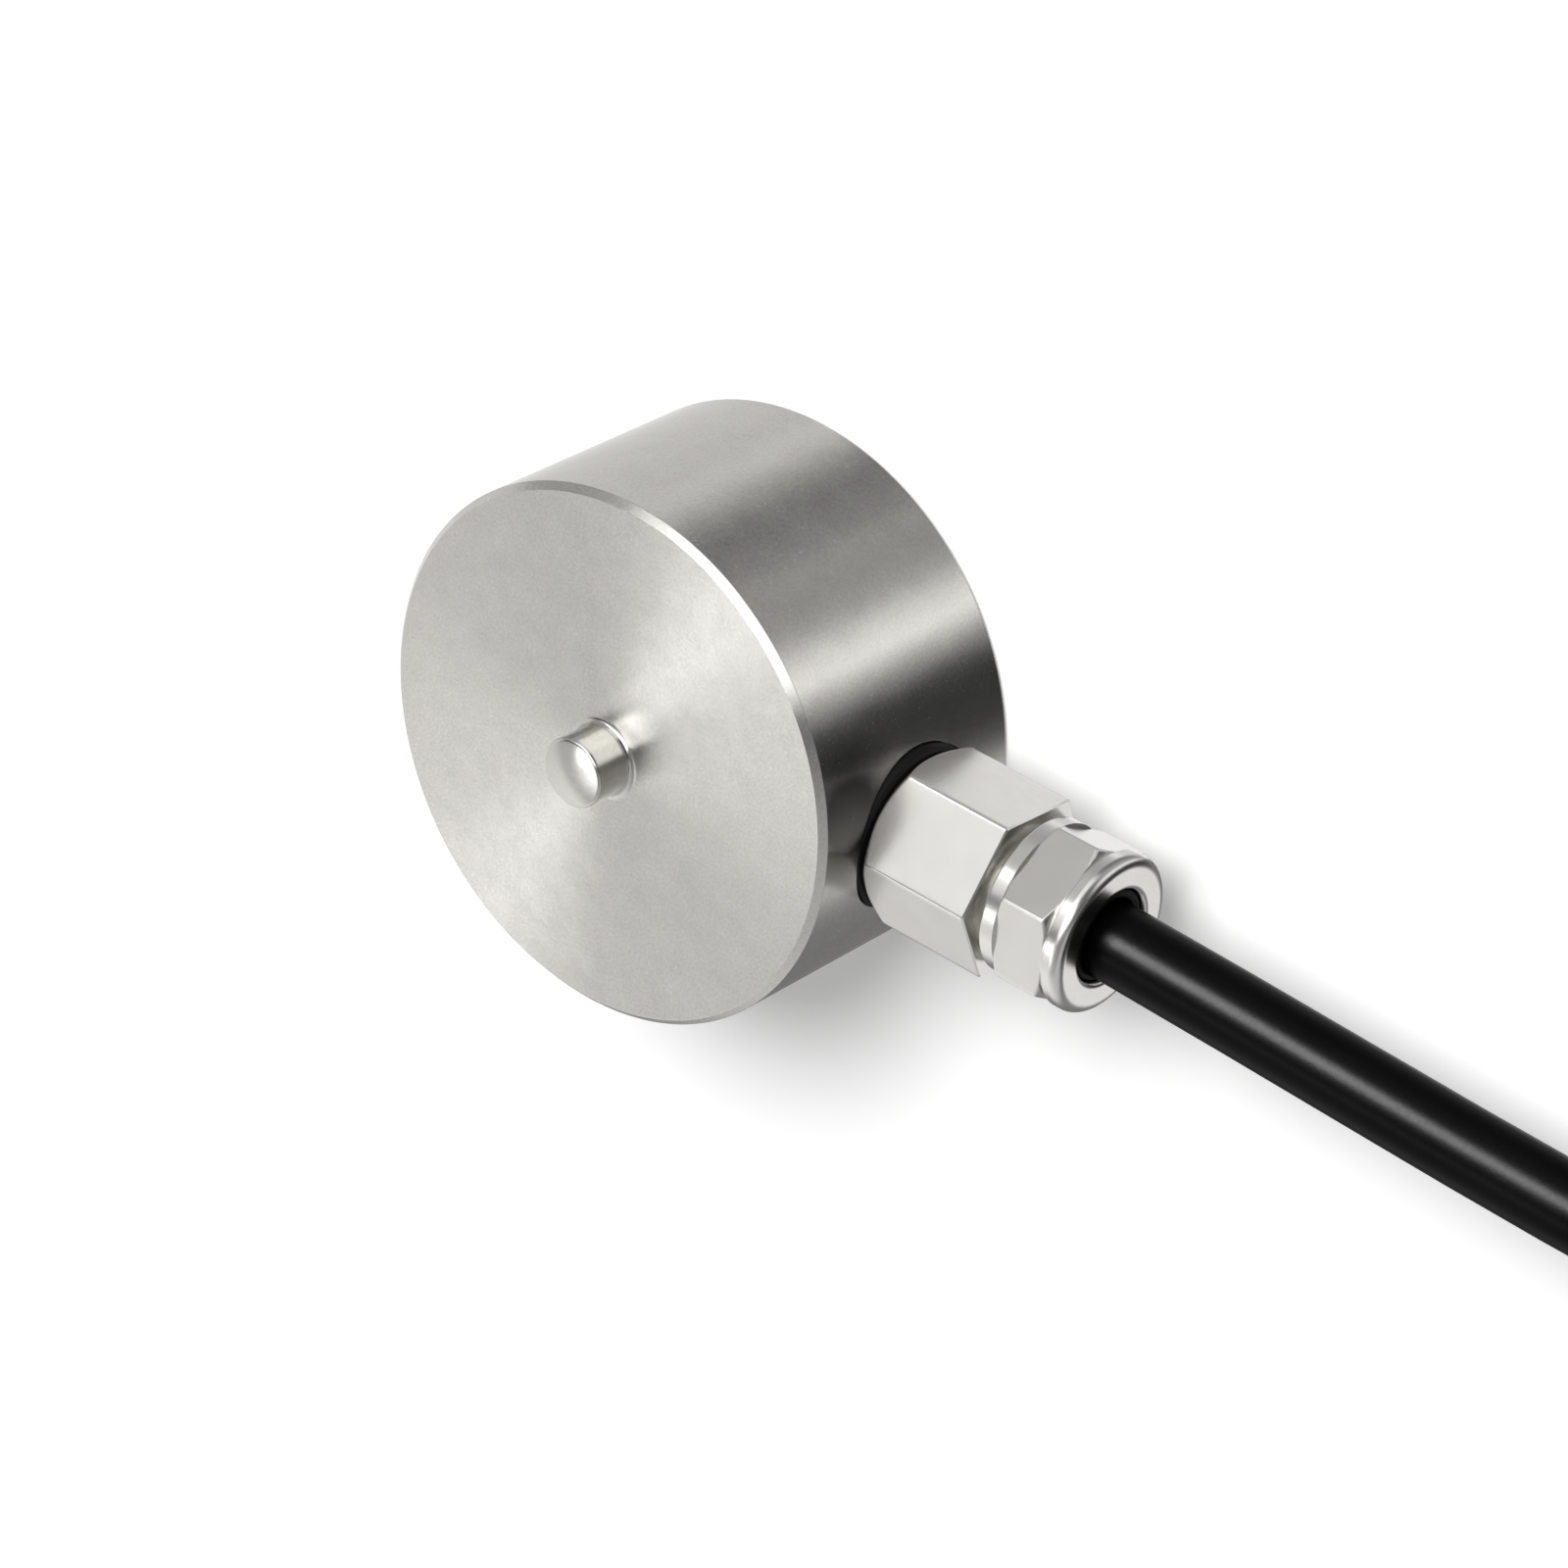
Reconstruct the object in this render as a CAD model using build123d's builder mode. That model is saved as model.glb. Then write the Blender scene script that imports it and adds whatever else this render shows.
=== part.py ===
from build123d import *
import os
from math import cos, pi, radians, sin, sqrt, tan

# Miniature button load cell for compression, with a cable gland in its side.
# Origin at the centre of the flat rear face, +Z along the load axis to the button, +X out of the gland.
# Millimetres.

# Sensor body
body_radius = 10.0
body_height = 9.9
rim_chamfer = 0.25
rear_chamfer = 0.15
diaphragm_thickness = 1.5
cavity_wall = 2.8
boss_radius = 1.7
boss_depth = 0.9

# Load button on the face
button_radius = 1.3
button_height = 1.6
button_crown = 0.15
button_root_fillet = 0.25
button_edge_fillet = 0.15

# Rear cover and the board above it
rear_rim_width = 1.5
cover_thickness = 1.3
cover_clearance = 0.03
standoff_height = 0.8
standoff_width = 0.7
bay_wall = 2.4
board_thickness = 0.8
board_clearance = 0.05
component_size = (1.6, 0.8, 0.5)
component_terminal = 0.3
component_place = (-3.6, 1.3)

# Strain gauges under the face
backing_size = (2.4, 1.6, 0.06)
foil_thickness = 0.03
grid_lines = 6
grid_pitch = 0.2
grid_line_width = 0.1
grid_length = 0.9
tab_size = (0.5, 0.35)
boss_margin = 0.1
wall_margin = 0.3
gauge_wire_radius = 0.07

# Gland hole in the side, and the rubber washer that seals it
gland_height = 4.8
spot_face_radius = 3.15
spot_face_depth = 0.75
thread_radius = 2.5
washer_clearance = 0.05

# Gland body
gland_seat_gap = 0.05
gland_flats = 5.9
gland_hex_turn = 27.0
gland_hex_length = 4.85
gland_end_radius = 2.79
gland_chamfer_angle = 40.0
gland_bore_clearance = 0.05
nut_thread_radius = 2.35
nut_thread_length = 2.5
bush_pocket_length = 1.2
pocket_wall = 0.45

# Gland nut
nut_gap = 0.35
nut_flats = 5.5
nut_hex_turn = 4.5
nut_collar_radius = 2.9
nut_collar_length = 0.6
nut_collar_chamfer = 0.12
nut_chamfer_angle = 30.0
nut_length = 2.75
groove_width = 0.14
groove_depth = 0.16
nose_radius = 2.95
nose_length = 0.72
nose_fillet = 0.4
mouth_radius = 1.75
mouth_fillet = 0.2

# Rubber bush and the ring under the nut
bush_clearance = 0.02
bush_recess = 0.1
bush_fillet = 0.15
slip_washer_thickness = 0.2

# Cable and its inner cores
cable_radius = 1.4
jacket_inset = 4.4
core_radius = 0.3
core_spacing = 0.84
core_reach = (1.3, 2.3)
core_bend_radius = 0.8
core_bend_room = 0.9
solder_radius = 0.4
solder_height = 0.3
wire_solder_radius = 0.24
wire_solder_height = 0.15

# Route of the cable from its end inside the body to the coil
cable_points = [
    (body_radius - jacket_inset, 0.0, gland_height),
    (17.0, 0.0, gland_height),
    (41.0, -0.8, gland_height),
    (47.4, -0.4, 4.2),
    (53.4, 1.0, 3.0),
    (59.0, 3.1, 1.9),
    (64.6, 5.2, cable_radius),
]
arc_share = 0.45

# Coil of the length that is put away
coil_columns = 4
coil_layers = 6
top_layer_columns = 2
coil_middle_radius = 14.0
tail_runs = (8.0, 8.0, 7.0)
tail_turn = 36.0

# Stripped end of the cable
sleeve_wall = 0.2
sleeve_length = 5.4
sleeve_overhang = 1.6
lead_turn = 120.0
lead_drop_run = 2.6
lead_run = 8.0
lead_lanes = (1.6, 0.65)
lead_spread = 2.0
tip_radius = 0.2
shield_radius = 0.15
tip_length = 2.0

# Places worked out from the sizes above
cover_radius = body_radius - rear_rim_width
bay_radius = body_radius - bay_wall
board_radius = bay_radius - board_clearance
cavity_radius = body_radius - cavity_wall
cavity_top = body_height - diaphragm_thickness
button_edge_z = body_height + button_height
seat_x = body_radius - spot_face_depth
hex_start_x = body_radius - gland_seat_gap
hex_end_x = hex_start_x + gland_hex_length
nut_start_x = hex_end_x + nut_gap
nose_start_x = nut_start_x + nut_length
nose_end_x = nose_start_x + nose_length
shoulder_x = hex_end_x + nut_thread_length + slip_washer_thickness
pocket_radius = nut_thread_radius - pocket_wall
pocket_start_x = hex_end_x - bush_pocket_length
board_bottom = cover_thickness + standoff_height
board_top = board_bottom + board_thickness
foil_bottom = cavity_top - backing_size[2] - foil_thickness
hole_start_x = sqrt(cavity_radius**2 - thread_radius**2)
spigot_start_x = bay_radius + board_clearance


def gland_plane(x):
    """A plane across the gland's axis: its own X is +Y of the part and its own Y is +Z."""
    return Plane(origin=(x, 0, gland_height), x_dir=(0, 1, 0), z_dir=(1, 0, 0))


def across_corners(flats):
    """Radius of the corners of a hexagon."""
    return flats / cos(radians(30)) / 2


def route_arcs(points):
    """The arc radius for each inner point of a route, as large as the shorter of its two runs allows."""
    runs = [Vector(b) - Vector(a) for a, b in zip(points, points[1:])]
    return [arc_share * min(first.length, second.length) / tan(radians(first.get_angle(second) / 2))
            for first, second in zip(runs, runs[1:])]


# Plane through the gland's axis: its own X is +X of the part and its own Y is the distance from the axis
gland_section = Plane(origin=(0, 0, gland_height), x_dir=(1, 0, 0), z_dir=(0, -1, 0))
gland_axis = Axis((0, 0, gland_height), (1, 0, 0))


# Sensor body: button, face, wall and hollow in one turned piece
with BuildPart() as sensor_body:
    Cylinder(body_radius, body_height, align=(Align.CENTER, Align.CENTER, Align.MIN))
    chamfer(sensor_body.edges().group_by(Axis.Z)[-1], rim_chamfer)
    chamfer(sensor_body.edges().group_by(Axis.Z)[0], rear_chamfer)
    crown_radius = (button_radius**2 + button_crown**2) / (2 * button_crown)
    with BuildSketch(Plane.XZ) as button_profile:
        with BuildLine():
            Polyline((0, button_edge_z + button_crown), (0, body_height), (button_radius, body_height),
                     (button_radius, button_edge_z))
            RadiusArc((button_radius, button_edge_z), (0, button_edge_z + button_crown), -crown_radius)
        make_face()
        rim_corners = button_profile.vertices().group_by(Axis.X)[-1].sort_by(Axis.Y)
        fillet(rim_corners[-1], button_edge_fillet)
    revolve(axis=Axis.Z)
    root_edges = sensor_body.edges().filter_by(GeomType.CIRCLE).group_by(Axis.Z)
    face_edges = [group for group in root_edges if abs(group[0].center().Z - body_height) < rim_chamfer / 2][0]
    fillet(face_edges.sort_by(SortBy.RADIUS)[0], button_root_fillet)
    # Recess of the cover, bay of the board, and the gauge chamber with the boss under the button
    with BuildSketch(Plane.XY):
        Circle(cover_radius)
    extrude(amount=cover_thickness, mode=Mode.SUBTRACT)
    with BuildSketch(Plane.XY.offset(cover_thickness)):
        Circle(bay_radius)
    extrude(amount=board_top - cover_thickness, mode=Mode.SUBTRACT)
    with BuildSketch(Plane.XY.offset(board_top)):
        Circle(cavity_radius)
    extrude(amount=cavity_top - boss_depth - board_top, mode=Mode.SUBTRACT)
    with BuildSketch(Plane.XY.offset(cavity_top - boss_depth)):
        Circle(cavity_radius)
        Circle(boss_radius, mode=Mode.SUBTRACT)
    extrude(amount=boss_depth, mode=Mode.SUBTRACT)
    # Spot face and tapped hole for the gland
    with BuildSketch(gland_plane(seat_x)):
        Circle(spot_face_radius)
    extrude(amount=body_radius, mode=Mode.SUBTRACT)
    with BuildSketch(gland_plane(hole_start_x)):
        Circle(thread_radius)
    extrude(amount=body_radius, mode=Mode.SUBTRACT)
sensor_body.part.label = "sensor_body"

# Rear cover with a raised ring that carries the board
with BuildPart() as rear_cover:
    with BuildSketch(Plane.XY):
        Circle(cover_radius - cover_clearance)
    extrude(amount=cover_thickness)
    with BuildSketch(Plane.XY.offset(cover_thickness)):
        Circle(board_radius)
        Circle(board_radius - standoff_width, mode=Mode.SUBTRACT)
    extrude(amount=standoff_height)
rear_cover.part.label = "rear_cover"

# Terminal board and the two trim resistors on it
with BuildPart() as terminal_board:
    with BuildSketch(Plane.XY.offset(board_bottom)):
        Circle(board_radius)
    extrude(amount=board_thickness)
terminal_board.part.label = "terminal_board"


def chip_resistor(side):
    """A chip resistor on the board, with its body necked between two end caps."""
    length, width, height = component_size
    place_x, place_y = component_place
    with BuildPart() as chip:
        with BuildSketch(Plane(origin=(place_x, side * place_y, board_top))):
            Rectangle(length, width)
        extrude(amount=height)
        caps = chip.edges().filter_by(Axis.Y).group_by(Axis.Z)[-1]
        chamfer(caps, component_terminal / 4)
    return chip.part


zero_resistor = chip_resistor(1)
zero_resistor.label = "zero_resistor"
span_resistor = chip_resistor(-1)
span_resistor.label = "span_resistor"

# Strain gauges: two beside the boss and two beside the wall, on both sides of the centre along Y
inner_gauge_offset = boss_radius + boss_margin + backing_size[1] / 2
outer_gauge_offset = cavity_radius - wall_margin - backing_size[1] / 2
gauge_places = [inner_gauge_offset, -inner_gauge_offset, outer_gauge_offset, -outer_gauge_offset]
grid_width = (grid_lines - 1) * grid_pitch
grid_shift = tab_size[1] / 2
tab_offset = grid_width / 2
tab_centre = -grid_length / 2


def gauge_backing(place):
    """The carrier film of one gauge, bonded under the face."""
    with BuildPart() as backing:
        with BuildSketch(Plane(origin=(0, place, cavity_top - backing_size[2]))):
            RectangleRounded(backing_size[0], backing_size[1], tab_size[1] / 2)
        extrude(amount=backing_size[2])
    return backing.part


def gauge_foil(place):
    """The measuring grid of one gauge: parallel lines joined by end loops, with a tab at each end."""
    with BuildPart() as foil:
        with BuildSketch(Plane(origin=(0, place, foil_bottom))):
            with Locations((0, grid_shift)):
                with GridLocations(grid_pitch, 0, grid_lines, 1):
                    Rectangle(grid_line_width, grid_length)
            for gap in range(grid_lines - 1):
                loop_x = (gap - (grid_lines - 2) / 2) * grid_pitch
                loop_y = (grid_length - grid_line_width) / 2 * (1 if gap % 2 == 0 else -1)
                with Locations((loop_x, loop_y + grid_shift)):
                    Rectangle(grid_pitch, grid_line_width)
            with Locations((-tab_offset, tab_centre), (tab_offset, tab_centre)):
                Rectangle(*tab_size)
        extrude(amount=foil_thickness)
    return foil.part


gauge_backings = [gauge_backing(place) for place in gauge_places]
gauge_foils = [gauge_foil(place) for place in gauge_places]
for number, (backing, foil) in enumerate(zip(gauge_backings, gauge_foils), start=1):
    backing.label = f"gauge_backing_{number}"
    foil.label = f"gauge_foil_{number}"

# Fine wires from the gauge tabs straight to the board
wire_places = [(side * tab_offset, place + tab_centre) for place in gauge_places for side in (-1, 1)]
with BuildPart() as gauge_leads:
    with BuildSketch(Plane.XY.offset(board_top)):
        with Locations(wire_places):
            Circle(gauge_wire_radius)
    extrude(amount=foil_bottom - board_top)
gauge_leads.part.label = "gauge_leads"

# Rubber washer in the spot face, squeezed by the gland's hexagon
with BuildPart() as sealing_washer:
    with BuildSketch(gland_plane(seat_x)):
        Circle(spot_face_radius - washer_clearance)
        Circle(thread_radius, mode=Mode.SUBTRACT)
    extrude(amount=hex_start_x - seat_x)
sealing_washer.part.label = "sealing_washer"

# Gland body: threaded spigot, hexagon with a conical inner end, and the thread for the nut
gland_corner = across_corners(gland_flats)
cone_length = (gland_corner - gland_end_radius) * tan(radians(gland_chamfer_angle))
with BuildPart() as gland_body:
    with BuildSketch(gland_plane(hex_start_x)):
        RegularPolygon(gland_flats / 2, 6, major_radius=False, rotation=gland_hex_turn)
    extrude(amount=gland_hex_length)
    with BuildSketch(gland_section):
        with BuildLine():
            Polyline((hex_start_x, 0), (hex_start_x, gland_end_radius),
                     (hex_start_x + cone_length, gland_corner), (hex_end_x, gland_corner),
                     (hex_end_x, 0), close=True)
        make_face()
    revolve(axis=gland_axis, mode=Mode.INTERSECT)
    with BuildSketch(gland_plane(spigot_start_x)):
        Circle(thread_radius)
    extrude(amount=hex_start_x - spigot_start_x)
    with BuildSketch(gland_plane(hex_end_x)):
        Circle(nut_thread_radius)
    extrude(amount=nut_thread_length)
    with BuildSketch(gland_plane(spigot_start_x)):
        Circle(cable_radius + gland_bore_clearance)
    extrude(amount=shoulder_x - spigot_start_x, mode=Mode.SUBTRACT)
    with BuildSketch(gland_plane(pocket_start_x)):
        Circle(pocket_radius)
    extrude(amount=shoulder_x - pocket_start_x, mode=Mode.SUBTRACT)
gland_body.part.label = "gland_body"

# Gland nut: turned collar, hexagon with conical ends, groove and rounded nose round the mouth
nut_corner = across_corners(nut_flats)
collar_end_x = nut_start_x + nut_collar_length
inner_cone = (nut_corner - nut_collar_radius) * tan(radians(nut_chamfer_angle))
outer_cone = (nut_corner - nose_radius) * tan(radians(nut_chamfer_angle))
groove_start_x = nose_start_x - groove_width
with BuildPart() as gland_nut:
    with BuildSketch(gland_plane(collar_end_x)):
        RegularPolygon(nut_flats / 2, 6, major_radius=False, rotation=nut_hex_turn)
    extrude(amount=groove_start_x - collar_end_x)
    with BuildSketch(gland_section):
        with BuildLine():
            Polyline((collar_end_x, 0), (collar_end_x, nut_collar_radius),
                     (collar_end_x + inner_cone, nut_corner), (groove_start_x - outer_cone, nut_corner),
                     (groove_start_x, nose_radius), (groove_start_x, 0), close=True)
        make_face()
    revolve(axis=gland_axis, mode=Mode.INTERSECT)
    with BuildSketch(gland_section):
        with BuildLine():
            Polyline((nut_start_x, 0), (nut_start_x, nut_collar_radius - nut_collar_chamfer),
                     (nut_start_x + nut_collar_chamfer, nut_collar_radius),
                     (collar_end_x, nut_collar_radius), (collar_end_x, 0), close=True)
        make_face()
        with BuildLine():
            Polyline((groove_start_x, 0), (groove_start_x, nose_radius - groove_depth),
                     (nose_start_x, nose_radius - groove_depth), (nose_start_x, nose_radius),
                     (nose_end_x, nose_radius), (nose_end_x, 0), close=True)
        make_face()
    revolve(axis=gland_axis)
    with BuildSketch(gland_plane(nut_start_x)):
        Circle(nut_thread_radius)
    extrude(amount=shoulder_x - nut_start_x, mode=Mode.SUBTRACT)
    with BuildSketch(gland_plane(shoulder_x)):
        Circle(mouth_radius)
    extrude(amount=nose_end_x - shoulder_x, mode=Mode.SUBTRACT)
    front_edges = gland_nut.edges().filter_by(GeomType.CIRCLE).group_by(Axis.X)[-1].sort_by(SortBy.RADIUS)
    fillet(front_edges[-1], nose_fillet)
    front_edges = gland_nut.edges().filter_by(GeomType.CIRCLE).group_by(Axis.X)[-1].sort_by(SortBy.RADIUS)
    fillet(front_edges[0], mouth_fillet)
gland_nut.part.label = "gland_nut"

# Ring that lets the nut turn on the end of the gland's thread
with BuildPart() as slip_washer:
    with BuildSketch(gland_plane(shoulder_x - slip_washer_thickness)):
        Circle(nut_thread_radius - bush_clearance)
        Circle(mouth_radius, mode=Mode.SUBTRACT)
    extrude(amount=slip_washer_thickness)
slip_washer.part.label = "slip_washer"

# Rubber bush: a thick root in the gland's pocket and a neck that fills the nut's mouth
bush_root_end = hex_end_x + nut_thread_length
bush_end_x = nose_end_x - bush_recess
with BuildPart() as seal_bush:
    with BuildSketch(gland_section):
        with BuildLine():
            Polyline((pocket_start_x, cable_radius), (pocket_start_x, pocket_radius - bush_clearance),
                     (bush_root_end, pocket_radius - bush_clearance),
                     (bush_root_end, mouth_radius - bush_clearance),
                     (bush_end_x, mouth_radius - bush_clearance), (bush_end_x, cable_radius), close=True)
        make_face()
    revolve(axis=gland_axis)
    bush_rims = seal_bush.edges().filter_by(GeomType.CIRCLE).group_by(Axis.X)[-1].sort_by(SortBy.RADIUS)
    fillet(bush_rims[-1], bush_fillet)
seal_bush.part.label = "seal_bush"

# Cable from its cut end inside the body, through the gland and down to the coil
cable_arcs = route_arcs(cable_points)
print("cable arc radii", [round(radius, 1) for radius in cable_arcs])
with BuildPart() as cable_tube:
    with BuildLine() as cable_line:
        FilletPolyline(*cable_points, radius=cable_arcs)
    with BuildSketch(Plane(origin=cable_points[0], z_dir=(1, 0, 0))):
        Circle(cable_radius)
    sweep(path=cable_line.line)
cable_tube.part.label = "cable_tube"
tube_length = cable_line.wire().length
print("cable tube length", round(tube_length, 1), "volume", round(cable_tube.part.volume, 1),
      "section times length", round(pi * cable_radius**2 * tube_length, 1))

# Coil of the put-away length, as one solid of its outer shape. The cable runs into its outer turn.
cable_diameter = 2 * cable_radius
half_columns = coil_columns / 2
coil_inner = coil_middle_radius - half_columns * cable_diameter
coil_outer = coil_middle_radius + half_columns * cable_diameter
coil_step = coil_inner + top_layer_columns * cable_diameter
coil_low = (coil_layers - 1) * cable_diameter
coil_high = coil_layers * cable_diameter
entry = Vector(*cable_points[-1])
last_run = entry - Vector(*cable_points[-2])
heading = Vector(last_run.X, last_run.Y, 0).normalized()
outward = Vector(-heading.Y, heading.X, 0)
coil_centre = Vector(entry.X, entry.Y, 0) - outward * (coil_outer - cable_radius)
coil_section = Plane(origin=(coil_centre.X, coil_centre.Y, 0), x_dir=(1, 0, 0), z_dir=(0, -1, 0))
with BuildPart() as cable_coil:
    with BuildSketch(coil_section):
        with BuildLine():
            Polyline((coil_inner, 0), (coil_outer, 0), (coil_outer, coil_low), (coil_step, coil_low),
                     (coil_step, coil_high), (coil_inner, coil_high), close=True)
        make_face()
    revolve(axis=Axis((coil_centre.X, coil_centre.Y, 0), (0, 0, 1)))
cable_coil.part.label = "cable_coil"
turn_length = 2 * pi * coil_middle_radius * coil_columns
top_turn_length = 2 * pi * (coil_inner + top_layer_columns * cable_radius) * top_layer_columns
coil_length = (coil_layers - 1) * turn_length + top_turn_length
print("coil centre", round(coil_centre.X, 2), round(coil_centre.Y, 2), "coil length", round(coil_length, 1))


def turned(angle):
    """The heading where the cable meets the coil, turned clockwise about +Z by an angle in degrees."""
    return heading * cos(radians(angle)) - outward * sin(radians(angle))


def beside(angle):
    """The direction across that heading, towards the outside of the coil."""
    return outward * cos(radians(angle)) + heading * sin(radians(angle))


# Tail: the cable's last stretch leaves the top layer and lies over the layer below it, bent with the coil.
# The sleeve on its end rests on that layer.
tail_height = coil_low + sleeve_wall + cable_radius
tail_start = coil_centre + outward * (coil_step - cable_radius) + Vector(0, 0, tail_height)
tail_points = [tail_start]
for number, run in enumerate(tail_runs):
    tail_points.append(tail_points[-1] + turned(number * tail_turn) * run)
tail_end = tail_points[-1]
tail_arcs = route_arcs(tail_points)
end_angle = (len(tail_runs) - 1) * tail_turn
end_heading = turned(end_angle)
with BuildPart() as cable_tail:
    with BuildLine() as tail_line:
        FilletPolyline(*tail_points, radius=tail_arcs)
    with BuildSketch(Plane(origin=tail_start, z_dir=heading)):
        Circle(cable_radius)
    sweep(path=tail_line.line)
cable_tail.part.label = "cable_tail"
tail_length = tail_line.wire().length
print("tail arc radii", [round(radius, 1) for radius in tail_arcs])
print("cable length in all", round(tube_length + coil_length + tail_length, 1))

# Sleeve over the jacket's end
sleeve_start = tail_end - end_heading * (sleeve_length - sleeve_overhang)
with BuildPart() as end_sleeve:
    with BuildSketch(Plane(origin=sleeve_start, z_dir=end_heading)):
        Circle(cable_radius + sleeve_wall)
        Circle(cable_radius, mode=Mode.SUBTRACT)
    extrude(amount=sleeve_length)
end_sleeve.part.label = "end_sleeve"


def lead_route(bundle, lane, radius):
    """Route of one flying lead: out of the sleeve, down to the turns below, and on along the coil.

    bundle is its place across and up in the jacket's end, lane its distance across where it lies.
    """
    across = beside(end_angle)
    start = tail_end + across * bundle[0] + Vector(0, 0, bundle[1])
    level = Vector(0, 0, coil_low + radius - tail_end.Z)
    landing = tail_end + across * lane + end_heading * (sleeve_overhang + lead_drop_run) + level
    onward = turned(lead_turn - lane * lead_spread)
    return [start, start + end_heading * sleeve_overhang, landing, landing + onward * lead_run], onward


def lead(bundle, lane, radius):
    """One flying lead as a solid of its radius."""
    route, _ = lead_route(bundle, lane, radius)
    with BuildPart() as wire:
        with BuildLine() as path:
            FilletPolyline(*route, radius=route_arcs(route))
        with BuildSketch(Plane(origin=route[0], z_dir=end_heading)):
            Circle(radius)
        sweep(path=path.line)
    return wire.part


half_spacing = core_spacing / 2
lead_places = {
    "lead_red": ((half_spacing, half_spacing), lead_lanes[0]),
    "lead_black": ((half_spacing, -half_spacing), lead_lanes[1]),
    "lead_green": ((-half_spacing, -half_spacing), -lead_lanes[1]),
    "lead_white": ((-half_spacing, half_spacing), -lead_lanes[0]),
}
leads = {name: lead(*place, core_radius) for name, place in lead_places.items()}
for name, solid in leads.items():
    solid.label = name
shield_wire = lead((0, 0), 0, shield_radius)
shield_wire.label = "shield_wire"

# Tinned ends of the four leads
with BuildPart() as lead_tips:
    for place in lead_places.values():
        route, onward = lead_route(*place, core_radius)
        with BuildSketch(Plane(origin=route[-1], z_dir=onward)):
            Circle(tip_radius)
        extrude(amount=tip_length)
lead_tips.part.label = "lead_tips"

# Cores inside the body: out of the jacket's cut end and down to the board
jacket_end = cable_points[0][0]
core_places = {
    "inner_core_red": (1, 1),
    "inner_core_black": (-1, 1),
    "inner_core_green": (1, -1),
    "inner_core_white": (-1, -1),
}


def core_foot(place):
    """Where a core meets the board; the upper pair reaches further in."""
    side, level = place
    reach = core_reach[1] if level > 0 else core_reach[0]
    return jacket_end - reach, side * half_spacing


def inner_core(place):
    """One core from the jacket's end to the board. Its bend takes no more than a share of the drop."""
    side, level = place
    foot_x, y = core_foot(place)
    z = gland_height + level * half_spacing
    bend_radius = min(core_bend_radius, core_bend_room * (z - board_top))
    with BuildPart() as core:
        with BuildLine() as path:
            FilletPolyline((jacket_end, y, z), (foot_x, y, z), (foot_x, y, board_top), radius=bend_radius)
        with BuildSketch(Plane(origin=(jacket_end, y, z), z_dir=(-1, 0, 0))):
            Circle(core_radius)
        sweep(path=path.line)
    return core.part


inner_cores = {name: inner_core(place) for name, place in core_places.items()}
for name, solid in inner_cores.items():
    solid.label = name

# Solder cones round the feet of the cores and of the gauge wires
core_feet = [core_foot(place) for place in core_places.values()]
with BuildPart() as solder_joints:
    with BuildSketch(Plane.XY.offset(board_top)):
        with Locations(core_feet):
            Circle(solder_radius)
            Circle(core_radius, mode=Mode.SUBTRACT)
    extrude(amount=solder_height)
    with BuildSketch(Plane.XY.offset(board_top)):
        with Locations(wire_places):
            Circle(wire_solder_radius)
            Circle(gauge_wire_radius, mode=Mode.SUBTRACT)
    extrude(amount=wire_solder_height)
solder_joints.part.label = "solder_joints"

pieces = [
    sensor_body.part, rear_cover.part, terminal_board.part, zero_resistor, span_resistor,
    *gauge_backings, *gauge_foils, gauge_leads.part, solder_joints.part, *inner_cores.values(),
    sealing_washer.part, gland_body.part, gland_nut.part, slip_washer.part, seal_bush.part,
    cable_tube.part, cable_coil.part, cable_tail.part, end_sleeve.part, *leads.values(), shield_wire,
    lead_tips.part,
]
os.makedirs("parts", exist_ok=True)
for piece in pieces:
    export_step(piece, f"parts/{piece.label}.step")
print(len(pieces), "nodes written")
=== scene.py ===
# %% [markdown]
# # A button load cell, dressed in Blender
# The object is a small force sensor: a turned stainless cylinder with a load button on its face, a
# cable gland screwed into its side, and a thin black cable that ends in four bare leads. The solid
# model gives every place and size. This lesson builds the surfaces that a photograph would show and
# gives each one its finish.
#
# Lengths of the part are written in millimetres and turned into Blender's metres when a mesh is made.
# The part stands on its flat rear face, with the load axis along +Z and the gland along +X.

# %% Tools and the frame
import math

import bpy
import bmesh
import numpy as np
from mathutils import Matrix, Vector


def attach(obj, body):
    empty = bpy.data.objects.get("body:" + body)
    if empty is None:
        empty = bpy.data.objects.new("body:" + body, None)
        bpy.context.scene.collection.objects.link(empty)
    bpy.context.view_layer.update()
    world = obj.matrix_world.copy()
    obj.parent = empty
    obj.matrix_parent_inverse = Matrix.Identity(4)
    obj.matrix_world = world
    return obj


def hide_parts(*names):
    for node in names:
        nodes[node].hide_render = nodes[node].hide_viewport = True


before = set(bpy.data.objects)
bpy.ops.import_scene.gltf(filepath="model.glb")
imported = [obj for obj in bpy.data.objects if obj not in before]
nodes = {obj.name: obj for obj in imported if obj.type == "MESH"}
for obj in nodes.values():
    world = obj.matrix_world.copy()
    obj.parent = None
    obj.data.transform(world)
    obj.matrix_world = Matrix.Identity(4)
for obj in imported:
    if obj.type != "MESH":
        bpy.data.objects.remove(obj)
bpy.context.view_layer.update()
MILLIMETRE = 0.001


# %% [markdown]
# ## The camera
# The photograph looks down on the face from the side where the gland is, with a long lens and with the
# camera rolled, so that the cell seems to stand on its wall. A rolled camera is written most plainly
# with two directions: where the picture's right edge points and where its top points. The third
# direction is their cross product.
#
# The Standard view shows a colour as it was written. A film-like view would turn the white table grey.

# %% Camera
camera_place = Vector((109.6958, 106.8188, 144.5651)) * MILLIMETRE
picture_right = Vector((0.749895, 0.110732, -0.652224)).normalized()
picture_up = Vector((-0.417267, 0.844219, -0.336425)).normalized()
towards_camera = picture_right.cross(picture_up).normalized()
picture_up = towards_camera.cross(picture_right)

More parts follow.
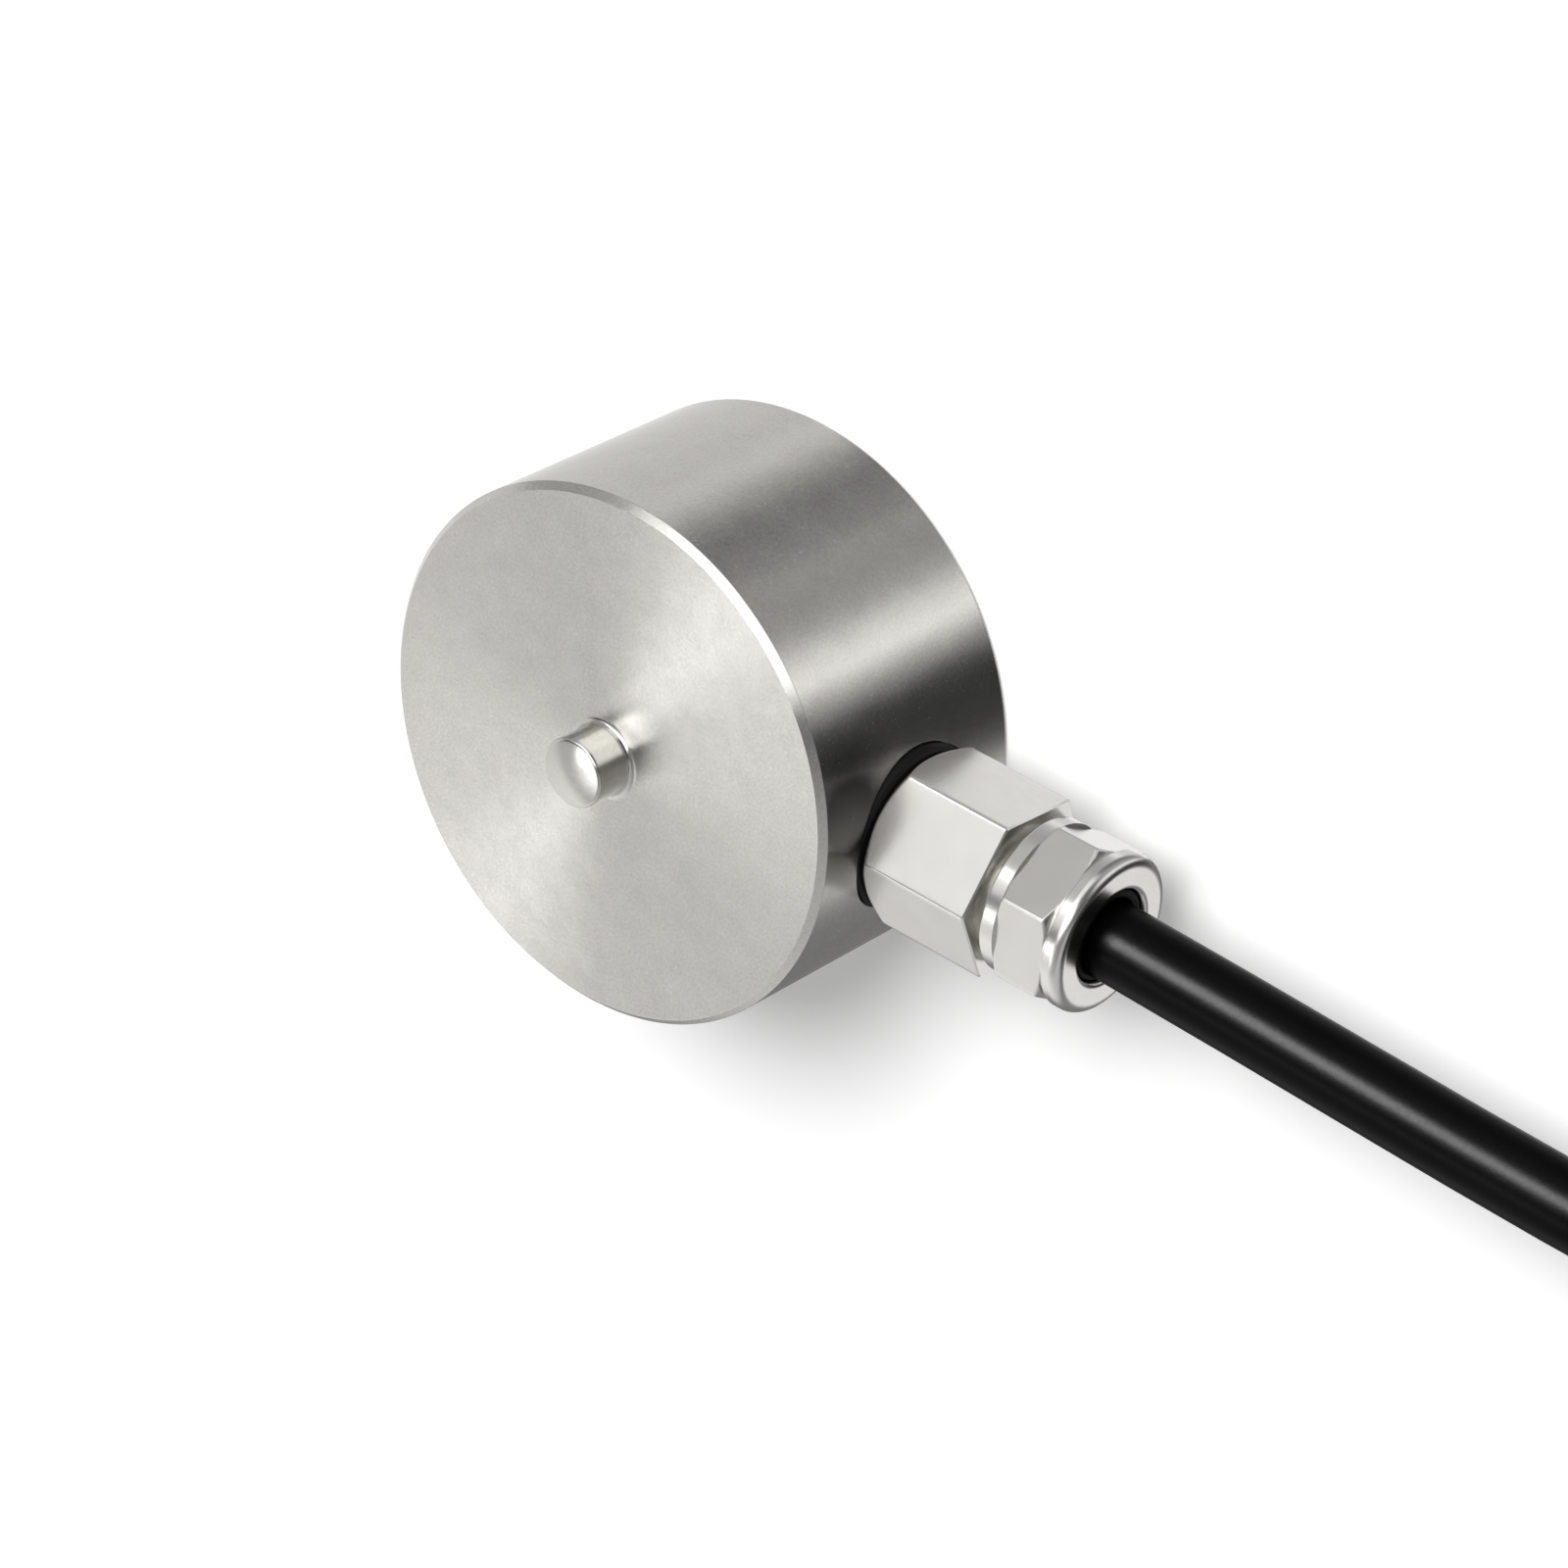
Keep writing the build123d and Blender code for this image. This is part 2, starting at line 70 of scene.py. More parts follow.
camera_data = bpy.data.cameras.new("photo_camera")
camera_data.sensor_width = 36.0
camera_data.lens = 135.11
camera_data.clip_start = 0.01
camera_data.clip_end = 20.0
camera = bpy.data.objects.new("photo_camera", camera_data)
bpy.context.scene.collection.objects.link(camera)
turn = Matrix((picture_right, picture_up, towards_camera)).transposed().to_4x4()
camera.matrix_world = Matrix.Translation(camera_place) @ turn
bpy.context.scene.camera = camera
bpy.context.scene.view_settings.view_transform = "Standard"
print("camera", round(camera_place.length * 1000, 1), "mm from the centre of the rear face")


# %% [markdown]
# ## A helper for shader nodes
# A material in Blender is a small network. Writing it out by hand takes three calls for each node, so
# one short helper adds a node, sets its options and either links or fills its inputs.

# %% Helper for shader nodes
def add_node(tree, kind, inputs=None, **options):
    """Adds one node. An input given as a socket is linked, any other is set as that socket's own value."""
    made = tree.nodes.new(kind)
    for option, value in options.items():
        setattr(made, option, value)
    for name, value in (inputs or {}).items():
        socket = made.inputs[name]
        if isinstance(value, bpy.types.NodeSocket):
            tree.links.new(value, socket)
        else:
            socket.default_value = value
    return made


def math_node(tree, operation, first, second=0.5, third=0.5, clamp=False):
    """One arithmetic step on numbers that vary over the surface; gives its output socket."""
    return add_node(tree, "ShaderNodeMath", {0: first, 1: second, 2: third},
                    operation=operation, use_clamp=clamp).outputs[0]


def number_ramp(tree, value, stops):
    """A ramp of grey levels with straight steps; stops are (position, level) pairs."""
    ramp = add_node(tree, "ShaderNodeValToRGB", {"Fac": value})
    ramp.color_ramp.interpolation = "LINEAR"
    elements = ramp.color_ramp.elements
    while len(elements) < len(stops):
        elements.new(0.5)
    for element, (position, level) in zip(elements, sorted(stops)):
        element.position = position
        element.color = (level, level, level, 1.0)
    return ramp.outputs["Color"]


def linear_colour(red, green, blue):
    """A colour as a picture editor shows it, 0 to 255, turned into the linear values that shaders use."""
    shown = np.array((red, green, blue)) / 255.0
    linear = np.where(shown <= 0.04045, shown / 12.92, ((shown + 0.055) / 1.055) ** 2.4)
    return (*[round(float(value), 4) for value in linear], 1.0)


print("a mid grey of 128 is", linear_colour(128, 128, 128)[0], "in linear light")


# %% [markdown]
# ## The studio around the part
# Bare metal shows its surroundings and hardly any colour of its own, so the studio matters more than
# the lamps. The photograph was taken on a white table under a large pale ceiling light, and the wall of
# the cell shows darker upright zones where the table ends. A picture of a real room would bring in
# things that nobody asked for. The world shader draws a simpler room instead, as grey levels that
# depend on the direction alone.
#
# A direction is a point on the unit ball. Its angle round the compass, from +X towards +Y, picks a
# zone, and its Z says how high above the horizon it lies.

# %% Directions in the room
world = bpy.data.worlds.new("pale_studio")
bpy.context.scene.world = world
world.use_nodes = True
room = world.node_tree
room.nodes.clear()
direction = add_node(room, "ShaderNodeTexCoord").outputs["Generated"]
direction_parts = add_node(room, "ShaderNodeSeparateXYZ", {"Vector": direction}).outputs
azimuth = math_node(room, "ARCTAN2", direction_parts["Y"], direction_parts["X"])
around = math_node(room, "MULTIPLY_ADD", azimuth, 0.5 / math.pi, 0.5)
print("the room starts with", len(room.nodes), "nodes")


# %% [markdown]
# The room has three storeys: the table with its zones below the horizon, a low band with the room's
# walls, and the ceiling above. Each is a ramp round the compass, and its stops are written as (angle in
# degrees, level). A level of 1 is white. The table's zones are the ones that the cell's upright wall
# mirrors, so its dark and light bands are set there. The ceiling's zones show in the rim's chamfer and
# on the button.

# %% Zones round the compass
table_zones = [(-180, 0.76), (-166, 0.86), (-156, 1.05), (-146, 1.32), (-137, 0.50), (-127, 0.19),
               (-90, 0.20), (-56, 0.26), (-34, 0.12), (-16, 0.04), (4, 0.03), (14, 0.05), (25, 0.50),
               (34, 1.20), (44, 0.86), (54, 0.45), (64, 0.34), (76, 0.39), (84, 0.25), (94, 0.20),
               (104, 0.12), (114, 0.30), (124, 0.48), (134, 0.61), (144, 0.65), (160, 0.70), (180, 0.76)]
wall_zones = [(-180, 0.72), (-150, 0.80), (-128, 0.98), (-110, 0.92), (-60, 0.55), (-5, 0.50), (15, 0.12),
              (66, 0.12), (80, 0.95), (108, 1.05), (118, 0.42), (164, 0.36), (172, 0.68), (180, 0.72)]
ceiling_zones = [(-180, 0.10), (-168, 0.12), (-158, 0.56), (-140, 0.57), (-125, 0.62), (-108, 0.52),
                 (-60, 0.40), (-10, 0.22), (23, 0.22), (37, 2.10), (110, 2.10), (124, 0.95), (152, 0.84),
                 (166, 0.14), (180, 0.10)]


def zone_level(zones):
    """The grey level of one storey: its ramp is read at the share of the full circle."""
    return number_ramp(room, around, [((angle + 180) / 360, level) for angle, level in zones])


def grey(level):
    """A grey of one level, as a colour for a socket."""
    return (level, level, level, 1)


def blended(factor, first, second):
    """A mix of two colours of light: the first where the factor is 0, the second where it is 1."""
    mix = add_node(room, "ShaderNodeMix", {"Factor": factor, 6: first, 7: second}, data_type="RGBA")
    return mix.outputs[2]


for storey, zones in {"table": table_zones, "walls": wall_zones, "ceiling": ceiling_zones}.items():
    levels = [level for _, level in zones]
    print(storey, "from", min(levels), "to", max(levels))


# %% [markdown]
# Small bright things make the sparks that tell a polished edge from a dull one. Two shapes are enough.
# A round glow is the cosine of the angle to its centre, raised to a power, so a higher power makes it
# smaller. A strip is a long lamp parallel to X, which gives round parts along the gland one bright
# line. Both live in the world shader, so they light nothing by themselves and only mirrors see them.

# %% Glows and a strip lamp
def glow(angle, elevation, sharpness):
    """A round glow: the direction's cosine with the glow's centre, raised to the power of its sharpness."""
    flat = math.cos(math.radians(elevation))
    centre = (flat * math.cos(math.radians(angle)), flat * math.sin(math.radians(angle)),
              math.sin(math.radians(elevation)))
    facing = add_node(room, "ShaderNodeVectorMath", {0: direction, 1: centre}, operation="DOT_PRODUCT")
    return math_node(room, "POWER", math_node(room, "MAXIMUM", facing.outputs["Value"], 0.0), sharpness)


def soft_edge(distance, inside, outside):
    """1 up to the inside distance, falling evenly to 0 at the outside distance."""
    return add_node(room, "ShaderNodeMapRange",
                    {"Value": distance, "From Min": outside, "From Max": inside}).outputs[0]


def strip_lamp(lean, middle):
    """A long lamp parallel to X: 1 inside the strip, falling to 0 at its soft edges.

    lean is the angle of the plane through X and the strip, from +Y towards +Z. The distance across the
    strip is the direction's part along that plane's normal, and the place along it is the direction's X
    less the middle.
    """
    along_y, along_z = math.cos(math.radians(lean)), math.sin(math.radians(lean))
    across = add_node(room, "ShaderNodeVectorMath", {0: direction, 1: (0, -along_z, along_y)},
                      operation="DOT_PRODUCT").outputs["Value"]
    facing = add_node(room, "ShaderNodeVectorMath", {0: direction, 1: (0, along_y, along_z)},
                      operation="DOT_PRODUCT").outputs["Value"]
    width = soft_edge(math_node(room, "ABSOLUTE", across), 0.03, 0.07)
    end_distance = math_node(room, "ABSOLUTE", math_node(room, "SUBTRACT", direction_parts["X"], middle))
    length = soft_edge(end_distance, 0.09, 0.17)
    in_front = math_node(room, "GREATER_THAN", facing, 0.0)
    return math_node(room, "MULTIPLY", math_node(room, "MULTIPLY", width, length), in_front)


print("room so far has", len(room.nodes), "nodes")


# %% [markdown]
# The storeys are laid over each other from the table up, each with a soft border, and the bright things
# last. A glow is placed by its angle and its elevation. The sharp one at (-146, 62) makes the light
# wedge on both sides of the button: every turning line has one place on either side of the axis that
# mirrors it, and together those places make a fan. The glow at (-44, -42) is what the nut's flat end
# mirrors.

# %% The mirrored room
def storey_above(low, high):
    """0 where the direction's Z is under low, 1 where it is over high, and an even rise between."""
    slope = 1 / (high - low)
    return math_node(room, "MULTIPLY_ADD", direction_parts["Z"], slope, -low * slope, clamp=True)


above_table = storey_above(-0.2125, 0.0375)
above_walls = storey_above(0.5444, 0.6556)
mirror_room = blended(above_table, zone_level(table_zones), zone_level(wall_zones))
mirror_room = blended(above_walls, mirror_room, zone_level(ceiling_zones))
bright_things = [(glow(137, -51, 200.0), 1.25), (glow(-44, -42, 70.0), 1.35), (glow(-146, 62, 300.0), 9.0),
                 (glow(-121, 61, 60.0), 1.8), (strip_lamp(47.0, -0.40), 5.0)]
for shape, level in bright_things:
    mirror_room = blended(shape, mirror_room, grey(level))
print(len(bright_things), "bright things in the room")


# %% [markdown]
# Who asks decides what is seen. Mirror rays get the room. The camera gets plain white, as in the
# photograph, and so do transmission rays, so that anything clear would show the same background. Matte
# surfaces get a plain grey: it fills the shadows evenly, with no bright spot of the room to colour
# them.

# %% Rays of the world
ray = add_node(room, "ShaderNodeLightPath").outputs
for_mirrors = blended(ray["Is Glossy Ray"], grey(0.30), mirror_room)
for_glass = blended(ray["Is Transmission Ray"], for_mirrors, grey(1))
seen = blended(ray["Is Camera Ray"], for_glass, grey(1))
backdrop = add_node(room, "ShaderNodeBackground", {"Color": seen, "Strength": 1.0})
add_node(room, "ShaderNodeOutputWorld", {"Surface": backdrop.outputs[0]})
print("world with", len(room.nodes), "nodes")


# %% [markdown]
# ## The ceiling light
# One wide, soft sun stands for the ceiling light: a sun has no falloff, so a colour renders the same
# wherever the part lies. Mirrors don't see it, because the room already has a ceiling for them.

# %% Ceiling light
def soft_sun(name, energy, angle, place):
    """A sun; place is a vector towards it, and its angle in degrees makes the shadow's edge soft."""
    data = bpy.data.lights.new(name, "SUN")
    data.energy = energy
    data.angle = math.radians(angle)
    made = bpy.data.objects.new(name, data)
    bpy.context.scene.collection.objects.link(made)
    made.rotation_euler = Vector(place).to_track_quat("Z", "Y").to_euler()
    return made


ceiling_light = soft_sun("ceiling_light", 2.9, 36, (0.06, 0.61, 0.79))
ceiling_light.visible_glossy = False
print("ceiling light", ceiling_light.data.energy, "W per square metre")


# %% [markdown]
# ## A light for the cable alone
# The black jacket in the photograph is nearly black all over, with one soft grey streak along it. A
# black surface gives back almost none of the room, so the streak needs a strong light of its own. Light
# linking keeps that light away from everything else: the lamp lights only what is in its collection,
# and the cable is put there once it is made.

# %% Cable light
cable_light = soft_sun("cable_light", 10.0, 24, (-0.42, 0.551, 0.721))
lit_by_cable_light = bpy.data.collections.new("lit_by_cable_light")
cable_light.light_linking.receiver_collection = lit_by_cable_light
print("cable light", cable_light.data.energy, "W per square metre")


# %% [markdown]
# ## The floor
# The table is white, matte paper that takes the soft shadow. Paper gives back nine tenths of its light
# at most, so under a plain lamp it renders a little grey, and a brighter lamp would wash out the part.
# So the floor's shader tells rays apart too: to the camera it looks a shade whiter and gives off a
# little white of its own, and to all others it is plain matte paper, which lights the part no more than
# paper does. Only the camera sees that bit of white, so it isn't sampled as a lamp.

# %% Floor
half_floor = 3000 * MILLIMETRE
floor_mesh = bpy.data.meshes.new("floor")
floor_corners = [(-half_floor, -half_floor, 0), (half_floor, -half_floor, 0),
                 (half_floor, half_floor, 0), (-half_floor, half_floor, 0)]
floor_mesh.from_pydata(floor_corners, [], [(0, 1, 2, 3)])
floor = bpy.data.objects.new("floor", floor_mesh)
bpy.context.scene.collection.objects.link(floor)
floor.visible_glossy = False

white_table = bpy.data.materials.new("white_table")
white_table.use_nodes = True
tree = white_table.node_tree
tree.nodes.clear()
matte = add_node(tree, "ShaderNodeBsdfDiffuse", {"Color": grey(0.86)})
paper = add_node(tree, "ShaderNodeBsdfDiffuse", {"Color": grey(0.96)})
lift = add_node(tree, "ShaderNodeEmission", {"Color": grey(1), "Strength": 0.15})
lifted_paper = add_node(tree, "ShaderNodeAddShader", {0: paper.outputs[0], 1: lift.outputs[0]})
camera_ray = add_node(tree, "ShaderNodeLightPath").outputs["Is Camera Ray"]
table_look = add_node(tree, "ShaderNodeMixShader",
                      {0: camera_ray, 1: matte.outputs[0], 2: lifted_paper.outputs[0]})
add_node(tree, "ShaderNodeOutputMaterial", {"Surface": table_look.outputs[0]})
white_table.cycles.emission_sampling = "NONE"
floor_mesh.materials.append(white_table)
print("floor", round(floor.dimensions.x, 1), "m wide")


# %% [markdown]
# ## The cable's route
# A cable is one smooth curve, not a chain of pipes. Its points are the solid model's route: straight
# out of the gland, down to the table, into the outermost turn of a coil, and out of the coil's top
# layer. A NURBS curve of order 3 takes them as control points and rounds every corner by itself.
#
# A wound coil changes column once in each turn, and climbs one layer when the last column is full. Each
# layer changes columns a quarter turn earlier than the layer below, so that the climbing turn finds its
# place free. A move takes a quarter turn, and a climb rises along a quarter circle, steep at first, to
# clear the turn below.
#
# The curve runs a little inside its control points. On a circle its radius is theirs times (6 + 2 cos a)
# / 8, where a is the angle from one point to the next, so the points are set further out by that share.

# %% Route of the cable
gland_height = 4.8
cable_radius = 1.4
cable_width = 2 * cable_radius
route = np.array([(5.6, 0, gland_height), (17.0, 0, gland_height), (41.0, -0.8, gland_height),
                  (47.4, -0.4, 4.2), (53.4, 1.0, 3.0), (59.0, 3.1, 1.9), (64.6, 5.2, cable_radius)])
heading = (route[-1] - route[-2]) * (1, 1, 0)
heading = heading / np.linalg.norm(heading)
outward = np.array((-heading[1], heading[0], 0))
coil_middle_radius = 14.0
outer_column = coil_middle_radius + 1.5 * cable_width
coil_centre = route[-1] * (1, 1, 0) - outward * outer_column

points_per_turn = 16
layer_climbs = np.array((3.75, 7.5, 11.25, 15.0, 18.75))
inward_shifts = np.array((0.75, 1.75, 2.75, 8.25, 9.25, 10.25, 15.75, 16.75, 17.75))
outward_shifts = np.array((4.5, 5.5, 6.5, 12.0, 13.0, 14.0, 19.5))


def done(turns, starts):
    """How many of the quarter-turn moves that begin at starts are done, with a part for one under way."""
    return np.clip((turns[:, None] - starts[None, :]) / 0.25, 0, 1)


turns = np.arange(1, 20 * points_per_turn) / points_per_turn
columns_out = done(turns, outward_shifts).sum(1) - done(turns, inward_shifts).sum(1)
column = outer_column + cable_width * columns_out
climb = done(turns, layer_climbs)
level = cable_radius + cable_width * np.sqrt(1 - (1 - climb) ** 2).sum(1)
inside_curve = (6 + 2 * math.cos(2 * math.pi / points_per_turn)) / 8
swing = 2 * math.pi * turns[:, None]
wound = coil_centre + (outward * np.cos(swing) + heading * np.sin(swing)) * (column / inside_curve)[:, None]
wound[:, 2] = level
print(len(wound), "coil points, level", round(level[0], 2), "to", round(level[-1], 2), "mm")


# %% [markdown]
# The coil ends on its second column from the inside. From there the last stretch of cable follows the
# coil for 23 mm, bent the same way, and lies over the layer below, lifted by the wall of the sleeve on
# its end.

# %% Curve of the cable
def turned(angle):
    """The heading where the cable meets the coil, turned clockwise by an angle in degrees."""
    return heading * math.cos(math.radians(angle)) - outward * math.sin(math.radians(angle))


sleeve_wall = 0.2
tail_height = 11 * cable_radius + sleeve_wall
tail_start = coil_centre + outward * (coil_middle_radius - cable_radius) + (0, 0, tail_height)
tail = tail_start + np.cumsum([turned(0) * 0, turned(0) * 8, turned(36) * 8, turned(72) * 7], axis=0)
tail_end = tail[-1]
end_heading = turned(72)
end_across = outward * math.cos(math.radians(72)) + heading * math.sin(math.radians(72))
cable_line = np.concatenate((route, wound, tail))


def nurbs_line(name, line, radius, steps, sides):
    """A NURBS curve of order 3 through space with a round section. line is in millimetres.

    The order and the end setting come after the points, because earlier they would leave straight runs.
    Blender counts a section in steps: it has four sides, and two more for each step.
    """
    data = bpy.data.curves.new(name, "CURVE")
    data.dimensions = "3D"
    spline = data.splines.new("NURBS")
    spline.points.add(len(line) - 1)
    weighted = np.column_stack((line * MILLIMETRE, np.ones(len(line))))
    spline.points.foreach_set("co", weighted.ravel())
    spline.order_u = 3
    spline.use_endpoint_u = True
    spline.use_smooth = True
    data.resolution_u = steps
    data.bevel_depth = radius * MILLIMETRE
    data.bevel_resolution = (sides - 4) // 2
    data.use_fill_caps = radius > 0
    made = bpy.data.objects.new(name, data)
    bpy.context.scene.collection.objects.link(made)
    return made


def followed_points(line, steps):
    """The points of a NURBS line with no section, in millimetres, as Blender works them out."""
    bare = nurbs_line("bare_line", line, 0, steps, 4)
    bpy.context.view_layer.update()
    mesh = bpy.data.meshes.new_from_object(bare.evaluated_get(bpy.context.evaluated_depsgraph_get()))
    places = np.zeros(len(mesh.vertices) * 3)
    mesh.vertices.foreach_get("co", places)
    bpy.data.objects.remove(bare)
    return places.reshape(-1, 3) / MILLIMETRE


cable = nurbs_line("cable", cable_line, cable_radius, 5, 32)
lit_by_cable_light.objects.link(cable)
cable_path = followed_points(cable_line, 5)
cable_length = np.linalg.norm(np.diff(cable_path, axis=0), axis=1).sum()
print("cable", round(cable_length), "mm long")


# %% [markdown]
# ## Surfaces from arrays
# Turned parts are surfaces of revolution: a profile carried round an axis. Hexagons are the same idea
# with a radius that changes with the angle. Both are grids of points, so one function turns any grid
# into a mesh. It wraps the grid round, closes the poles by merging points that fall together, turns the
# faces outwards, and writes a UV map whose U runs round the axis. That direction is what brushed metal
# needs later.

# %% Mesh from a grid of points
def grid_mesh(name, points, around_closed=True, along_closed=False, sharp=38.0):
    """A mesh from points[along, around] in millimetres: each cell of the grid is one four-sided face.

    Point (i, j) has number i times columns plus j, and the corners of cell (i, j) are (i, j), (i, j + 1),
    (i + 1, j + 1) and (i + 1, j), counted round where the grid is closed.
    """
    rows, columns = points.shape[:2]
    row = np.arange(rows if along_closed else rows - 1)[:, None]
    column = np.arange(columns if around_closed else columns - 1)[None, :]
    next_row = (row + 1) % rows
    next_column = (column + 1) % columns
    here, beyond = row * columns, next_row * columns
    corners = np.stack(np.broadcast_arrays(here + column, here + next_column, beyond + next_column,
                                           beyond + column), -1)
    faces = corners.reshape(-1, 4)
    u = np.stack(np.broadcast_arrays(column, column + 1, column + 1, column), -1) / columns
    v = np.stack(np.broadcast_arrays(row, row, row + 1, row + 1), -1) / rows
    uv = np.stack(np.broadcast_arrays(u, v), -1).reshape(-1, 2)
    mesh = bpy.data.meshes.new(name)
    mesh.from_pydata((points.reshape(-1, 3) * MILLIMETRE).tolist(), [], faces.tolist())
    layer = mesh.uv_layers.new(name="UVMap")
    layer.data.foreach_set("uv", uv.ravel())
    shape = bmesh.new()
    shape.from_mesh(mesh)
    bmesh.ops.remove_doubles(shape, verts=shape.verts, dist=2e-7)
    bmesh.ops.recalc_face_normals(shape, faces=shape.faces)
    shape.to_mesh(mesh)
    shape.free()
    mesh.shade_smooth()
    mesh.set_sharp_from_angle(angle=math.radians(sharp))
    return mesh


def new_piece(name, mesh):
    """Puts a finished mesh into the scene as an object at the origin."""
    made = bpy.data.objects.new(name, mesh)
    bpy.context.scene.collection.objects.link(made)
    print(name, len(mesh.polygons), "faces")
    return made


# %% [markdown]
# A profile drawn with sharp corners looks like a drawing. Real edges are broken or filleted, and it is
# the small highlight on them that tells the eye what is metal. The next function cuts a chosen radius
# into each corner. It also adds a point just beside each arc, so that the shading bends at the edge and
# stays flat next to it.

# %% Rounded profiles and turned surfaces
def rounded(corners, arc_steps=6, beside=0.02):
    """A profile from (distance, height, radius) corners.

    Each corner with a radius becomes an arc that meets both sides: its centre lies on the line that halves
    the angle, and its ends lie radius times the tangent of half the turn away from the corner.
    """
    table = np.array(corners, float)
    profile = [table[0, :2]]
    for before, (x, y, radius), after in zip(table, table[1:], table[2:]):
        corner = np.array((x, y))
        back = (before[:2] - corner) / np.linalg.norm(before[:2] - corner)
        on = (after[:2] - corner) / np.linalg.norm(after[:2] - corner)
        if radius == 0:
            profile.append(corner)
            continue
        half = math.acos(np.clip(back @ on, -1, 1)) / 2
        reach = radius / math.tan(half)
        bisector = (back + on) / np.linalg.norm(back + on)
        centre = corner + bisector * radius / math.sin(half)
        sweep = np.linspace(-1, 1, arc_steps + 1)[:, None] * (math.pi / 2 - half)
        side = (on - back) / np.linalg.norm(on - back)
        arc = centre - bisector * radius * np.cos(sweep) + side * radius * np.sin(sweep)
        profile.extend([corner + back * (reach + beside), *arc, corner + on * (reach + beside)])
    profile.append(table[-1, :2])
    return np.array(profile)


def turned_about_z(name, corners, segments=256, closed=False, sharp=38.0):
    """A surface of revolution about +Z: each profile point (r, z) becomes a ring (r cos a, r sin a, z)."""
    profile = rounded(corners)
    angle = 2 * math.pi * np.arange(segments) / segments
    radius, height = profile[:, :1], profile[:, 1:]
    points = np.stack((radius * np.cos(angle), radius * np.sin(angle), height + 0 * angle), -1)
    return grid_mesh(name, points, along_closed=closed, sharp=sharp)


def turned_about_gland(name, corners, segments=192, closed=True, sharp=38.0):
    """A surface of revolution about the gland's axis: each profile point (x, r) becomes a ring."""
    profile = rounded(corners)
    angle = 2 * math.pi * np.arange(segments) / segments
    along, radius = profile[:, :1], profile[:, 1:]
    points = np.stack((along + 0 * angle, radius * np.cos(angle), gland_height + radius * np.sin(angle)), -1)
    return grid_mesh(name, points, along_closed=closed, sharp=sharp)


print("a fillet of 6 steps has", len(rounded([(0, 0, 0), (1, 0, 0.2), (1, 1, 0)])), "profile points")


# %% [markdown]
# ## The sensor body
# On the real cell the button, the face and the wall are one piece of stainless steel, turned in one
# clamping. So they are one profile here too, from the button's crown over the face, down the wall, and
# up into the hollow behind the face where the strain gauges sit. Modelling them apart would leave a
# seam round the button that the real one doesn't have.
#
# The crown is part of a ball. Its radius follows from the button's radius r and the crown's height h: (r
# squared + h squared) / 2 h. The rings down the wall keep its faces from growing long and thin.

# %% Profile of the sensor body
body_radius = 10.0
face_height = 9.9
button_radius = 1.3
button_top = 11.5
crown_height = 0.15
rim_chamfer = 0.25
rear_chamfer = 0.15
rim_start = face_height - rim_chamfer

crown_radius = (button_radius**2 + crown_height**2) / (2 * crown_height)
crown_r = np.linspace(0, button_radius - 0.16, 7)
crown_z = button_top + crown_height - crown_radius + np.sqrt(crown_radius**2 - crown_r**2)
crown_corners = [(r, z, 0) for r, z in zip(crown_r, crown_z)]
wall_corners = [(body_radius, z, 0) for z in (8.4, 7.2, 6.0, 4.8, 3.6, 2.4, 1.2)]
hollow_corners = [(8.5, 0.0, 0.05), (8.5, 1.3, 0), (7.6, 1.3, 0), (7.6, 2.9, 0), (7.2, 2.9, 0),
                  (7.2, 8.4, 0.2), (1.7, 8.4, 0.1), (1.7, 7.5, 0.08), (0, 7.5, 0)]
body_corners = [
    *crown_corners, (button_radius, button_top, 0.13), (button_radius, face_height, 0.25),
    (body_radius - rim_chamfer, face_height, 0.04), (body_radius, rim_start, 0.04), *wall_corners,
    (body_radius, rear_chamfer, 0.03), (body_radius - rear_chamfer, 0.0, 0.03), *hollow_corners]
sensor_mesh = turned_about_z("sensor_body_turned", body_corners, segments=320)


# %% [markdown]
# The gland sits in a spot face, a shallow round seat milled into the curved wall, with a tapped hole in
# its middle. A Boolean with a stepped plug cuts both at once, as the cutter does. The cut edge is where
# flat meets cylinder, and that crescent-shaped line would be hard to write as a grid.

# %% Spot face and hole
plug_corners = [(6.0, 0, 0), (6.0, 2.5, 0), (9.25, 2.5, 0), (9.25, 3.15, 0), (12.0, 3.15, 0), (12.0, 0, 0)]
plug = bpy.data.objects.new("plug", turned_about_gland("plug", plug_corners, closed=False))
bpy.context.scene.collection.objects.link(plug)
blank = bpy.data.objects.new("blank", sensor_mesh)
bpy.context.scene.collection.objects.link(blank)
cut = blank.modifiers.new("gland_seat", "BOOLEAN")
cut.operation = "DIFFERENCE"
cut.solver = "EXACT"
cut.object = plug
bpy.context.view_layer.update()
cut_mesh = bpy.data.meshes.new_from_object(blank.evaluated_get(bpy.context.evaluated_depsgraph_get()))
cut_mesh.name = "sensor_body_turned"
cut_mesh.shade_smooth()
cut_mesh.set_sharp_from_angle(angle=math.radians(38))
bpy.data.objects.remove(plug)
bpy.data.objects.remove(blank)
sensor_body = new_piece("sensor_body_turned", cut_mesh)


# %% [markdown]
# ## The rear cover
# A disc closes the hollow from behind. It is turned too, with a small broken edge, and carries a raised
# ring that holds the board. Only its flat outer side shows when the cell is picked up.

# %% Rear cover
cover_corners = [(0, 0, 0), (8.47, 0, 0.1), (8.47, 1.3, 0.05), (7.55, 1.3, 0), (7.55, 2.1, 0.05),
                 (6.85, 2.1, 0.05), (6.85, 1.3, 0.05), (0, 1.3, 0)]
cover = new_piece("rear_cover_turned", turned_about_z("rear_cover_turned", cover_corners))


